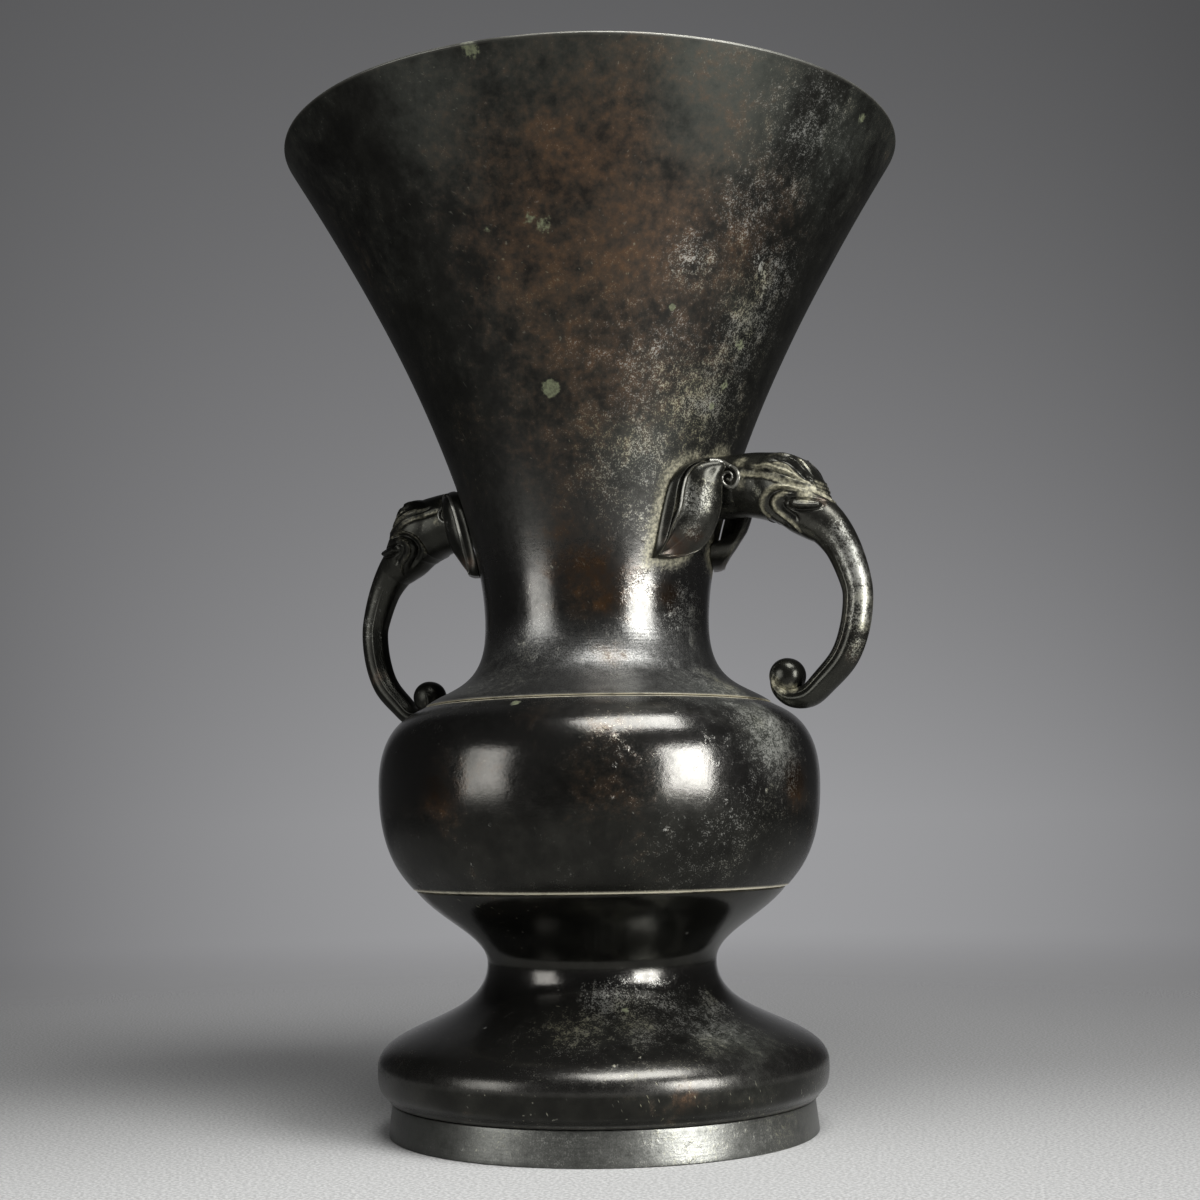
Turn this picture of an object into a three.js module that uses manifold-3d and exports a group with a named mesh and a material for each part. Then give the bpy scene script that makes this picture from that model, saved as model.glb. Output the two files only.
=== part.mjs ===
// Bronze altar vase: a trumpet mouth over a round belly and a waisted foot, cast in sections,
// with two handles shaped as elephant heads whose trunks curl back towards the shoulder.
// Millimetres, +Z up. The origin is the centre of the foot's underside, and the handles lie along X.

import * as THREE from "three";
import Module from "manifold-3d";
import { mergeVertices } from "three/addons/utils/BufferGeometryUtils.js";

const wasm = await Module();
wasm.setup();

// Heights above the table
const totalHeight = 280;
const neckHeight = 140;
const shoulderHeight = 117.5;
const bellyHeight = 95.5;
const bowlRimHeight = 66.3;
const waistHeight = 46;
const bulgeHeight = 18.5;
const bandHeight = 9.2;

// Outer radii at those heights
const mouthRadius = 89.9;
const neckRadius = 32.2;
const shoulderRadius = 49.8;
const neckFootRadius = 49.2;
const bellyRadius = 62.6;
const bellyBaseRadius = 52.7;
const bowlRimRadius = 52.1;
const waistRadius = 32.2;
const bulgeRadius = 62.8;
const bulgeBaseRadius = 59.4;
const bandTopRadius = 58.7;
const bandBaseRadius = 59.7;

// Walls, lips and the joints between the castings
const wall = 3.2;
const mouthWall = 2.6;
const lipBevel = 0.8;
const flangeEdge = 0.4;
const clearance = 0.3;
const seatWidth = 5.9;
const spigotWall = 3.2;
const spigotDepth = 5;
const collarWall = 2.6;
const collarDepth = 4;

// Floor plate and the ledge that carries it inside the waist
const ledgeWidth = 4;
const ledgeThickness = 3;
const ledgeDrop = 2;
const floorThickness = 2.4;

// Handles: place, head, trunk and curl
const handleHeight = 176;
const handleReach = 85.2;
const headDepth = 19.1;
const headWidth = 19;
const browRadius = 6.3;
const trunkDepth = 7.9;
const trunkWidth = 7.8;
const curlRadius = 4.85;
const curlWidth = 9.6;
const curlStandoff = 10.4;
const curlLift = 5.7;

// Ears
const earSpan = 18.5;
const earRise = 7.4;
const earDrop = 20.1;
const earThickness = 2.9;
const earCrown = 1.4;
const earFlare = 15.7;

// Tenon of each handle, burred over a washer inside the neck
const tenonWidth = 8;
const tenonDepth = 7;
const tenonRoot = 6;
const washerWidth = 15;
const washerThickness = 1.8;
const burrOverhang = 1.6;
const burrThickness = 1.6;

// Facets
const turnSegments = 44;
const curveSteps = 6;
const longCurveSteps = 10;
const spineSteps = 44;
const earPoints = 28;
const tipFacets = [16, 10];
const browFacets = [12, 8];
const weldShare = 0.001;

// Controls of each stretch of the outline, as shares of the box between its two ends
const trumpetShares = [[0, 0.366], [0.938, 0.953]];
const flareShares = [[0.4, 0.22], [1, 0.231]];
const upperBellyShares = [[0, 0.822], [0.781, 0.917]];
const lowerBellyShares = [[0.26, 0.111], [1, 0.32]];
const bowlShares = [[0, 0.368], [0.675, 0.592]];
const footShares = [[0, 0.42], [1, 0.4]];
const undersideShares = [[0.7, 0.37], [1, 0.22]];

// Cross-section of head and trunk, as shares of half depth and half width, from crown to underside
const roundSectionShares = [
  [1, 0], [0.88, 0.5], [0.5, 0.88], [0, 1], [-0.5, 0.88], [-0.88, 0.5], [-1, 0],
];
const trunkSectionShares = [
  [1, 0], [0.9, 0.46], [0.6, 0.84], [0.06, 1], [-0.5, 0.76], [-0.94, 0.42], [-1, 0],
];

// Centre line of head and trunk: share of the reach, share of the drop, and how far the section's
// depth and width are the head's rather than the trunk's
const spineShares = [
  [-0.34, 0, 0.84, 0.55],
  [0.26, -0.013, 0.855, 0.57],
  [0.412, 0.002, 0.93, 0.82],
  [0.549, 0.041, 1.01, 0.98],
  [0.625, 0.105, 0.82, 0.93],
  [0.68, 0.166, 0.615, 0.75],
  [0.73, 0.212, 0.44, 0.53],
  [0.783, 0.259, 0.28, 0.31],
  [0.851, 0.357, 0.155, 0.125],
  [0.91, 0.509, 0.06, 0.035],
  [0.928, 0.605, 0.01, 0],
  [0.906, 0.775, 0, 0],
  [0.845, 0.92, -0.03, 0],
];

// Centre of each brow: share of the reach, then shares of the head's width and depth
const browShares = [0.56, 0.27, 0.04];
const browWidthShare = 0.66;

// The curl turns from its first angle to its last while its radius and the trunk's section shrink
const curlStartAngle = -0.05 * Math.PI;
const curlTurn = -1.1 * Math.PI;
const curlPoints = 7;
const curlStartShare = 2.3;
const curlEndShare = 0.38;
const curlFirstTaperShare = 0.88;
const curlTaperShare = 0.36;

// Outline of an ear laid flat: tip, outer side, top, inner side and low inner side, as shares of the
// span along the wall and of the rise or drop, with the controls between them
const earCornerShares = [[1, -1], [0.9, -0.2], [0.55, 1], [0.31, -0.15], [0.36, -0.6], [1, -1]];
const earControlShares = [
  [[0.95, -0.66], [0.9, -0.42]],
  [[0.9, 0.25], [0.8, 1]],
  [[0.4, 1], [0.31, 0.45]],
  [[0.31, -0.3], [0.325, -0.47]],
  [[0.42, -0.85], [0.6, -0.97]],
];
const earCentreShares = [0.62, -0.25];
const earRingShares = [1, 0.9, 0.62, 0.3];

const darkBronze = { color: 0x2a221d, roughness: 0.38, metalness: 0.85 };
const handleBronze = { color: 0x24221c, roughness: 0.42, metalness: 0.85 };
const bandBronze = { color: 0x34332c, roughness: 0.55, metalness: 0.8 };
const innerBronze = { color: 0x4a4034, roughness: 0.6, metalness: 0.8 };

const lerp = THREE.MathUtils.lerp;

// Named mesh of a finished geometry
function piece(name, geometry, finish) {
  const mesh = new THREE.Mesh(geometry, new THREE.MeshStandardMaterial(finish));
  mesh.name = name;
  return mesh;
}

// Closed geometry to solid, with shared vertices merged
function solidOf(geometry) {
  const plain = geometry.clone();
  plain.deleteAttribute("normal");
  plain.deleteAttribute("uv");
  const merged = mergeVertices(plain, weldShare * clearance);
  const vertProperties = new Float32Array(merged.attributes.position.array);
  const triVerts = new Uint32Array(merged.index.array);
  return new wasm.Manifold(new wasm.Mesh({ numProp: 3, vertProperties, triVerts }));
}

// Solid to geometry
function geometryOf(solid) {
  const { vertProperties, triVerts } = solid.getMesh();
  const geometry = new THREE.BufferGeometry();
  geometry.setAttribute("position", new THREE.BufferAttribute(vertProperties, 3));
  geometry.setIndex(new THREE.BufferAttribute(triVerts, 1));
  geometry.computeVertexNormals();
  return geometry;
}

// Points of the curve between two [radius, height] ends
function flow(from, to, [leave, arrive], steps = curveSteps) {
  const control = ([across, up]) =>
    new THREE.Vector2(lerp(from[0], to[0], across), lerp(from[1], to[1], up));
  const ends = [new THREE.Vector2(...from), new THREE.Vector2(...to)];
  const curve = new THREE.CubicBezierCurve(ends[0], control(leave), control(arrive), ends[1]);
  return curve.getPoints(steps).map((p) => [p.x, p.y]);
}

// Body of revolution from a closed [radius, height] outline that runs up outside and down inside
function turned(outline) {
  const points = [...outline, outline[0]].map(([radius, height]) => new THREE.Vector2(radius, height));
  return new THREE.LatheGeometry(points, turnSegments).rotateX(Math.PI / 2);
}

// Body of revolution that is solid to the axis, from an outline that runs upwards
function turnedSolid(outline) {
  const first = outline[0];
  const last = outline.at(-1);
  const closed = [[0, first[1]], ...outline, [0, last[1]]];
  const points = closed.map(([radius, height]) => new THREE.Vector2(radius, height));
  return new THREE.LatheGeometry(points, turnSegments).rotateX(Math.PI / 2);
}

// Radius of an upward outline at a height
function radiusAt(outline, height) {
  const next = Math.max(1, outline.findIndex((p) => p[1] >= height));
  const [low, high] = [outline[next - 1], outline[next]];
  return lerp(low[0], high[0], (height - low[1]) / (high[1] - low[1]));
}

// Box given by its low and high corners
function boxBetween(low, high) {
  const size = new THREE.Vector3().subVectors(high, low);
  const centre = new THREE.Vector3().addVectors(low, high).multiplyScalar(0.5);
  return new THREE.BoxGeometry(size.x, size.y, size.z).translate(centre.x, centre.y, centre.z);
}

// Seats of the two joints between the castings
const upperSeat = shoulderHeight + clearance / 2;
const upperSeatBelow = shoulderHeight - clearance / 2;
const lowerSeat = bowlRimHeight + clearance / 2;
const lowerSeatBelow = bowlRimHeight - clearance / 2;
const bandSeat = bandHeight + clearance / 2;
const bandSeatBelow = bandHeight - clearance / 2;
const bellyMouth = shoulderRadius - seatWidth;
const bellyFloorMouth = bowlRimRadius - seatWidth;

// Neck and mouth: outer side, then the inner side a wall further in
const neckWaist = [neckRadius, neckHeight];
const lipFoot = [mouthRadius, totalHeight - lipBevel];
const neckOutline = [
  [neckFootRadius, upperSeat],
  ...flow([neckFootRadius, upperSeat + flangeEdge], neckWaist, flareShares),
  ...flow(neckWaist, lipFoot, trumpetShares, longCurveSteps).slice(1),
];
const neckSpigotOuter = bellyMouth - clearance;
const neckSpigotInner = neckSpigotOuter - spigotWall;
const boreWaist = [neckRadius - wall, neckHeight];
const mouthEdge = [mouthRadius - mouthWall, totalHeight];
const neckBore = [
  ...flow([neckSpigotInner, upperSeat], boreWaist, flareShares),
  ...flow(boreWaist, mouthEdge, trumpetShares, longCurveSteps).slice(1),
];

function trumpetNeckGeometry() {
  const outline = [
    [neckSpigotInner, upperSeat - spigotDepth],
    [neckSpigotOuter, upperSeat - spigotDepth],
    [neckSpigotOuter, upperSeat],
    ...neckOutline,
    [mouthRadius - lipBevel, totalHeight],
    ...neckBore.toReversed(),
  ];
  const tenonHoles = tenonBox(clearance).add(tenonBox(clearance).rotate([0, 0, 180]));
  return geometryOf(solidOf(turned(outline)).subtract(tenonHoles));
}

function bellyGeometry() {
  const innerTop = [bellyMouth, upperSeatBelow - wall];
  const innerMiddle = [bellyRadius - wall, bellyHeight];
  const innerFoot = [bellyFloorMouth, lowerSeat + wall];
  const outline = [
    [bellyFloorMouth, lowerSeat],
    ...flow([bellyBaseRadius, lowerSeat], [bellyRadius, bellyHeight], lowerBellyShares),
    ...flow([bellyRadius, bellyHeight], [shoulderRadius, upperSeatBelow], upperBellyShares).slice(1),
    [bellyMouth, upperSeatBelow],
    ...flow(innerMiddle, innerTop, upperBellyShares).toReversed(),
    ...flow(innerFoot, innerMiddle, lowerBellyShares).toReversed().slice(1),
  ];
  return turned(outline);
}

// Pedestal: bowl, waist and bulging foot, hollow underneath, with a ledge for the floor plate
const waistBore = waistRadius - wall;
const ledgeTop = waistHeight - ledgeDrop;
const bulgeBaseBore = bulgeBaseRadius - wall;

function pedestalGeometry() {
  const spigotOuter = bellyFloorMouth - clearance;
  const spigotInner = spigotOuter - spigotWall;
  const ledgeBore = waistBore - ledgeWidth;
  const underLedge = [waistBore, ledgeTop - ledgeThickness - wall];
  const innerBulge = [bulgeRadius - wall, bulgeHeight];
  const bowlFloor = [waistBore, waistHeight + floorThickness];
  const outline = [
    [bulgeBaseBore, bandSeat],
    ...flow([bulgeBaseRadius, bandSeat], [bulgeRadius, bulgeHeight], undersideShares),
    ...flow([bulgeRadius, bulgeHeight], [waistRadius, waistHeight], footShares, longCurveSteps).slice(1),
    ...flow([waistRadius, waistHeight], [bowlRimRadius, lowerSeatBelow], bowlShares).slice(1),
    [spigotOuter, lowerSeatBelow],
    [spigotOuter, lowerSeatBelow + spigotDepth],
    [spigotInner, lowerSeatBelow + spigotDepth],
    ...flow(bowlFloor, [spigotInner, lowerSeatBelow], bowlShares).toReversed(),
    [waistBore, ledgeTop],
    [ledgeBore, ledgeTop],
    [ledgeBore, ledgeTop - ledgeThickness],
    ...flow(innerBulge, underLedge, footShares, longCurveSteps).toReversed(),
    ...flow([bulgeBaseBore, bandSeat], innerBulge, undersideShares).toReversed().slice(1, -1),
  ];
  return turned(outline);
}

// Upright ring under the foot, with a collar that centres it inside the casting above
function footBandGeometry() {
  const collarOuter = bulgeBaseBore - clearance;
  const collarInner = collarOuter - collarWall;
  return turned([
    [collarInner, 0],
    [bandBaseRadius, 0],
    [bandTopRadius, bandSeatBelow],
    [collarOuter, bandSeatBelow],
    [collarOuter, bandSeatBelow + collarDepth],
    [collarInner, bandSeatBelow + collarDepth],
  ]);
}

// Disc that closes the vessel above the hollow foot
function floorPlateGeometry() {
  const radius = waistBore - clearance;
  const underside = ledgeTop + clearance;
  return turnedSolid([[radius, underside], [radius, underside + floorThickness]]);
}

// Where the handle's centre line runs, and how big its section is there
const curlX = shoulderRadius + curlStandoff;
const curlZ = shoulderHeight + curlLift;
const trunkDrop = handleHeight - curlZ;

function handleStations() {
  const rows = spineShares.map(([along, down, deep, wide]) => ({
    x: lerp(neckRadius, handleReach, along),
    z: handleHeight - trunkDrop * down,
    depth: lerp(trunkDepth, headDepth, deep),
    width: lerp(trunkWidth, headWidth, wide),
    round: Math.min(1, Math.max(0, deep + wide)),
  }));
  for (let i = 0; i < curlPoints; i++) {
    const turn = i / (curlPoints - 1);
    const angle = curlStartAngle + curlTurn * turn;
    const radius = curlRadius * lerp(curlEndShare, curlStartShare, (1 - turn) ** 2);
    rows.push({
      x: curlX + radius * Math.cos(angle),
      z: curlZ + radius * Math.sin(angle),
      depth: trunkDepth * lerp(curlFirstTaperShare, curlTaperShare, turn),
      width: lerp(trunkWidth, curlWidth, turn),
      round: 0,
    });
  }
  return rows;
}

// Head and trunk as one skin round the centre line, grown by a margin for the cuts round it
function headSkin(margin) {
  const rows = handleStations();
  const places = rows.map((r) => new THREE.Vector3(r.x, 0, r.z));
  const centres = new THREE.CatmullRomCurve3(places, false, "centripetal");
  const sections = rows.map((r) => new THREE.Vector3(r.depth, r.width, r.round * headDepth));
  const sizes = new THREE.CatmullRomCurve3(sections);
  const around = roundSectionShares.length - 1;
  const positions = [];
  for (let i = 0; i <= spineSteps; i++) {
    const t = i / spineSteps;
    const centre = centres.getPoint(t);
    const tangent = centres.getTangent(t);
    const size = sizes.getPoint(t);
    const roundShare = THREE.MathUtils.clamp(size.z / headDepth, 0, 1);
    for (let k = 0; k < 2 * around; k++) {
      const row = k <= around ? k : 2 * around - k;
      const side = k <= around ? 1 : -1;
      const out = lerp(trunkSectionShares[row][0], roundSectionShares[row][0], roundShare);
      const across = lerp(trunkSectionShares[row][1], roundSectionShares[row][1], roundShare) * side;
      const outward = out * (size.x / 2 + margin);
      positions.push(
        centre.x - tangent.z * outward,
        across * (size.y / 2 + margin),
        centre.z + tangent.x * outward,
      );
    }
  }
  return loft(positions, 2 * around, spineSteps);
}

// Closed skin over equal rings of points, with a fan at each end
function loft(positions, around, steps) {
  const index = [];
  for (let i = 0; i < steps; i++) {
    for (let k = 0; k < around; k++) {
      const [a, b] = [i * around + k, i * around + ((k + 1) % around)];
      const [c, d] = [a + around, b + around];
      index.push(a, c, d, a, d, b);
    }
  }
  const last = steps * around;
  for (let k = 1; k < around - 1; k++) {
    index.push(0, k, k + 1);
    index.push(last, last + k + 1, last + k);
  }
  const geometry = new THREE.BufferGeometry();
  geometry.setAttribute("position", new THREE.BufferAttribute(new Float32Array(positions), 3));
  geometry.setIndex(index);
  return geometry;
}

// Stretch of an upward outline between two heights
function slice(outline, low, high) {
  const between = outline.filter((p) => p[1] > low && p[1] < high);
  return [[radiusAt(outline, low), low], ...between, [radiusAt(outline, high), high]];
}

// Band of the neck's inside at the handle's height: a shell that starts a gap in from the wall
function boreShell(gap, thickness, halfHeight) {
  const face = slice(neckBore, handleHeight - halfHeight, handleHeight + halfHeight);
  const outer = face.map(([radius, height]) => [radius - gap, height]);
  const inner = outer.map(([radius, height]) => [radius - thickness, height]);
  return solidOf(turned([...outer, ...inner.reverse()]));
}

// Square bar along +X, through the wall at the handle's height
function barAlongX(halfWidth, halfHeight) {
  const low = new THREE.Vector3(0, -halfWidth, handleHeight - halfHeight);
  const high = new THREE.Vector3(handleReach, halfWidth, handleHeight + halfHeight);
  return solidOf(boxBetween(low, high));
}

const washerGap = clearance;
const burrGap = washerGap + washerThickness + clearance;

// Tenon from the burr inside the neck to the root of the head, grown by a margin for its hole
function tenonBox(margin) {
  const inner = radiusAt(neckBore, handleHeight) - burrGap - burrThickness / 2 - margin;
  const outer = radiusAt(neckOutline, handleHeight) + tenonRoot;
  const low = new THREE.Vector3(inner, -tenonWidth / 2 - margin, handleHeight - tenonDepth / 2 - margin);
  const high = new THREE.Vector3(outer, tenonWidth / 2 + margin, handleHeight + tenonDepth / 2 + margin);
  return solidOf(boxBetween(low, high));
}

// One of the two domes over the eyes
function brow(side) {
  const [along, across, up] = browShares;
  const dome = new THREE.SphereGeometry(browRadius, ...browFacets).scale(1, browWidthShare, 1);
  const x = lerp(neckRadius, handleReach, along);
  return solidOf(dome.translate(x, side * across * headWidth, handleHeight + up * headDepth));
}

// Elephant head and trunk in one casting, fitted to the neck, with its tenon burred over inside
function handleGeometry() {
  const curl = new THREE.SphereGeometry(curlRadius, ...tipFacets);
  curl.scale(1, curlWidth / (2 * curlRadius), 1);
  const tip = solidOf(curl.translate(curlX, 0, curlZ));
  const body = solidOf(headSkin(0)).add(brow(1)).add(brow(-1)).add(tip);
  const neckSpace = neckOutline.map(([radius, height]) => [radius + clearance, height]);
  const burrHalf = tenonWidth / 2 + burrOverhang;
  const burr = boreShell(burrGap, burrThickness, burrHalf).intersect(barAlongX(burrHalf, burrHalf));
  return geometryOf(body.subtract(solidOf(turnedSolid(neckSpace))).add(tenonBox(0)).add(burr));
}

// Washer between the neck's inside and the burr
function washerGeometry() {
  const half = washerWidth / 2;
  const plate = boreShell(washerGap, washerThickness, half).intersect(barAlongX(half, half));
  return geometryOf(plate.subtract(tenonBox(clearance)));
}

// Leaf outline of an ear as [distance along the wall, height from the handle's centre]
function earOutline() {
  const place = ([across, up]) =>
    new THREE.Vector2(across * earSpan, up > 0 ? up * earRise : up * earDrop);
  const path = new THREE.Path().moveTo(...place(earCornerShares[0]).toArray());
  earControlShares.forEach(([leave, arrive], i) => {
    const [a, b, end] = [place(leave), place(arrive), place(earCornerShares[i + 1])];
    path.bezierCurveTo(a.x, a.y, b.x, b.y, end.x, end.y);
  });
  return path.getSpacedPoints(earPoints).slice(0, earPoints);
}

// Domed ear in front of the handle's plane: its outer edge lies on the neck, and it flares out to
// the side of the head, where it is cut to fit
function earGeometry() {
  const centre = [earCentreShares[0] * earSpan, earCentreShares[1] * earDrop];
  const outline = earOutline();
  const positions = [];
  const place = (along, up, lift) => {
    const wallRadius = radiusAt(neckOutline, handleHeight + up);
    const flare = earFlare * (1 - along / earSpan) ** 2;
    const radius = wallRadius + clearance + flare + lift;
    const angle = along / wallRadius;
    positions.push(radius * Math.cos(angle), -radius * Math.sin(angle), handleHeight + up);
  };
  const ring = (share, lift) =>
    outline.forEach((p) => place(lerp(centre[0], p.x, share), lerp(centre[1], p.y, share), lift));
  earRingShares.forEach((share) => ring(share, earThickness + earCrown * (1 - share ** 2)));
  earRingShares.forEach((share) => ring(share, 0));
  place(...centre, earThickness + earCrown);
  place(...centre, 0);
  const rings = earRingShares.length;
  const index = [];
  const strip = (first, second) => {
    for (let k = 0; k < earPoints; k++) {
      const next = (k + 1) % earPoints;
      const [a, b] = [first * earPoints + k, first * earPoints + next];
      const [c, d] = [second * earPoints + k, second * earPoints + next];
      index.push(a, d, b, a, c, d);
    }
  };
  for (let i = 0; i < rings - 1; i++) strip(i, i + 1);
  for (let i = 0; i < rings - 1; i++) strip(rings + i + 1, rings + i);
  strip(rings, 0);
  const tops = (rings - 1) * earPoints;
  const bottoms = (2 * rings - 1) * earPoints;
  const hub = 2 * rings * earPoints;
  for (let k = 0; k < earPoints; k++) {
    const next = (k + 1) % earPoints;
    index.push(tops + next, tops + k, hub);
    index.push(bottoms + k, bottoms + next, hub + 1);
  }
  const geometry = new THREE.BufferGeometry();
  geometry.setAttribute("position", new THREE.BufferAttribute(new Float32Array(positions), 3));
  geometry.setIndex(index);
  return geometryOf(solidOf(geometry).subtract(solidOf(headSkin(clearance))));
}

// One handle with its two ears and its washer, on the +X side
function handleGroup(side) {
  const frontEar = piece("ear_" + side + "_front", earGeometry(), handleBronze);
  const backEar = piece("ear_" + side + "_back", earGeometry(), handleBronze);
  backEar.scale.y = -1;
  const group = new THREE.Group();
  group.add(piece("handle_" + side, handleGeometry(), handleBronze));
  group.add(frontEar, backEar);
  group.add(piece("tenon_washer_" + side, washerGeometry(), innerBronze));
  return group;
}

const vase = new THREE.Group();
vase.add(piece("trumpet_neck", trumpetNeckGeometry(), darkBronze));
vase.add(piece("belly", bellyGeometry(), darkBronze));
vase.add(piece("pedestal", pedestalGeometry(), darkBronze));
vase.add(piece("foot_band", footBandGeometry(), bandBronze));
vase.add(piece("floor_plate", floorPlateGeometry(), innerBronze));
const leftHandle = handleGroup("left");
leftHandle.rotation.z = Math.PI;
vase.add(handleGroup("right"), leftHandle);

export default vase;
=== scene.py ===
"""Bronze altar vase with elephant-head handles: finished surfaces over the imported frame, in metres."""
import math

import bpy
import numpy as np
from mathutils import Matrix, Vector, noise
from mathutils.bvhtree import BVHTree


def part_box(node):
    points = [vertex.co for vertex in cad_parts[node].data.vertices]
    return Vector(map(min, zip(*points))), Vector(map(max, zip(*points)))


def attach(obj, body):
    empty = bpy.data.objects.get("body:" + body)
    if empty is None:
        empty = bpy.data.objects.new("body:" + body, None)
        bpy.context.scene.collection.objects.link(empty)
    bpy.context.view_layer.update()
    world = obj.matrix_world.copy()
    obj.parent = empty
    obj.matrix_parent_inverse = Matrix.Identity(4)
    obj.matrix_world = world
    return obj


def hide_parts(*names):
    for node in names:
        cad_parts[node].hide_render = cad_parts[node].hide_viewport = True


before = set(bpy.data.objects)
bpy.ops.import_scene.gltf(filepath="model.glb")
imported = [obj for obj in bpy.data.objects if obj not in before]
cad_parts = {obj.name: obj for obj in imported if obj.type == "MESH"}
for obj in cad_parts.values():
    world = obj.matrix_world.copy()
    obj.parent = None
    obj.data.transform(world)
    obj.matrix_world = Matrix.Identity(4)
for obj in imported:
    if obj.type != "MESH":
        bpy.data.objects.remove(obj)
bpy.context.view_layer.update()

MILLIMETRE = 0.001

# Sizes read from the frame
MOUTH_RADIUS, _, MOUTH_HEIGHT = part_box("trumpet_neck")[1]
(_, _, BOWL_SEAT), (BELLY_RADIUS, _, SHOULDER_SEAT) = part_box("belly")
(_, _, BAND_SEAT), (BULGE_RADIUS, _, _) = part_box("pedestal")
BAND_RADIUS, _, COLLAR_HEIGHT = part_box("foot_band")[1]

# Heights and radii of the outline
NECK_RADIUS, NECK_HEIGHT = 0.0322, 0.140
NECK_FOOT_RADIUS = 0.0492
SHOULDER_RADIUS = 0.0498
BELLY_HEIGHT = 0.0955
BELLY_BASE_RADIUS = 0.0527
BOWL_RIM_RADIUS = 0.0521
WAIST_RADIUS, WAIST_HEIGHT = 0.0322, 0.046
BULGE_HEIGHT = 0.0185
BULGE_BASE_RADIUS = 0.0594
BAND_TOP_RADIUS = 0.0587

# Walls and joints
WALL = 0.0032
MOUTH_WALL = 0.0026
CLEARANCE = 0.0003
SEAT_WIDTH = 0.0059
SPIGOT_DEPTH = 0.005
SPIGOT_INNER = SHOULDER_RADIUS - SEAT_WIDTH - CLEARANCE - WALL
COLLAR_WALL = 0.0026
LEDGE_WIDTH = 0.004
LEDGE_THICKNESS = 0.003
LEDGE_DROP = 0.002
FLOOR_THICKNESS = 0.0024
EDGE_ROUND = 0.00035
LIP_ROUND = 0.0011
# Slight unevenness of a hand-finished casting: its height, and how many waves there are to a metre
CAST_WAVE, CAST_WAVE_SCALE = 0.00007, 55.0
# Edges that turn more sharply than this look sharp, on turned pieces and on the carved handles
TURNED_SHARP, CARVED_SHARP = math.radians(38), math.radians(60)

# Controls of each stretch of the outline, as shares of the box between its two ends
TRUMPET_SHARES = ((0, 0.366), (0.938, 0.953))
FLARE_SHARES = ((0.4, 0.22), (1, 0.231))
UPPER_BELLY_SHARES = ((0, 0.822), (0.781, 0.917))
LOWER_BELLY_SHARES = ((0.26, 0.111), (1, 0.32))
BOWL_SHARES = ((0, 0.368), (0.675, 0.592))
FOOT_SHARES = ((0, 0.42), (1, 0.4))
UNDERSIDE_SHARES = ((0.7, 0.37), (1, 0.22))

# How finely the curves are divided
TURN_SEGMENTS = 224
CURVE_STEPS = 36
EDGE_STEPS = 5
BAND_STEPS = 8

# Camera
CAMERA_PLACE = Vector((0.27025, -0.4375, 0.0852))
CAMERA_TURN = math.radians(31.6)
CAMERA_PITCH = math.radians(7.0)
CAMERA_ROLL = math.radians(0.868)
CAMERA_LENS = 53.78
SENSOR_WIDTH = 36.0
CAMERA_CLIP = (0.01, 100.0)
PHOTO_SIZE = 1200
CAMERA_POSE = (
    Matrix.Translation(CAMERA_PLACE) @ Matrix.Rotation(CAMERA_TURN, 4, "Z")
    @ Matrix.Rotation(math.pi / 2 + CAMERA_PITCH, 4, "X") @ Matrix.Rotation(-CAMERA_ROLL, 4, "Z")
)


def mix(a, b, share):
    return a + (b - a) * share


def bell(distance, spread, height=1):
    return height * np.exp(-((distance / spread) ** 2))


def unit(vectors):
    return vectors / np.linalg.norm(vectors, axis=-1, keepdims=True)


def round_angles(count):
    return np.linspace(0, 2 * math.pi, count, endpoint=False)


def add_object(name, data):
    made = bpy.data.objects.new(name, data)
    bpy.context.scene.collection.objects.link(made)
    return made


def flow(start, end, controls, steps=CURVE_STEPS):
    """Points of the cubic curve between two (radius, height) ends, controls as shares of their box."""
    points = [start]
    for across, up in controls:
        points.append((mix(start[0], end[0], across), mix(start[1], end[1], up)))
    a, b, c, d = (np.array(p) for p in (*points, end))
    t = np.linspace(0, 1, steps + 1)[:, None]
    curve = a * (1 - t) ** 3 + 3 * b * t * (1 - t) ** 2 + 3 * c * t**2 * (1 - t) + d * t**3
    return [tuple(p) for p in curve]


def rounded(outline, corners):
    """The closed outline with the corners at these indexes cut round; corners maps index to radius."""
    out = []
    count = len(outline)
    for i, point in enumerate(outline):
        if i not in corners:
            out.append(point)
            continue
        here = np.array(point)
        before = np.array(outline[i - 1]) - here
        after = np.array(outline[(i + 1) % count]) - here
        start = here + unit(before) * corners[i]
        end = here + unit(after) * corners[i]
        for k in range(EDGE_STEPS + 1):
            t = k / EDGE_STEPS
            p = start * (1 - t) ** 2 + here * 2 * t * (1 - t) + end * t**2
            out.append(tuple(p))
    return out


def new_piece(name, vertices, faces, node, material, sharp=TURNED_SHARP):
    mesh = bpy.data.meshes.new(name)
    mesh.from_pydata([tuple(v) for v in vertices], [], faces)
    mesh.validate()
    mesh.update()
    mesh.polygons.foreach_set("use_smooth", [True] * len(mesh.polygons))
    mesh.set_sharp_from_angle(angle=sharp)
    piece = add_object(name, mesh)
    mesh.materials.append(material)
    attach(piece, "root")
    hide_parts(node)
    return piece


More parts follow.
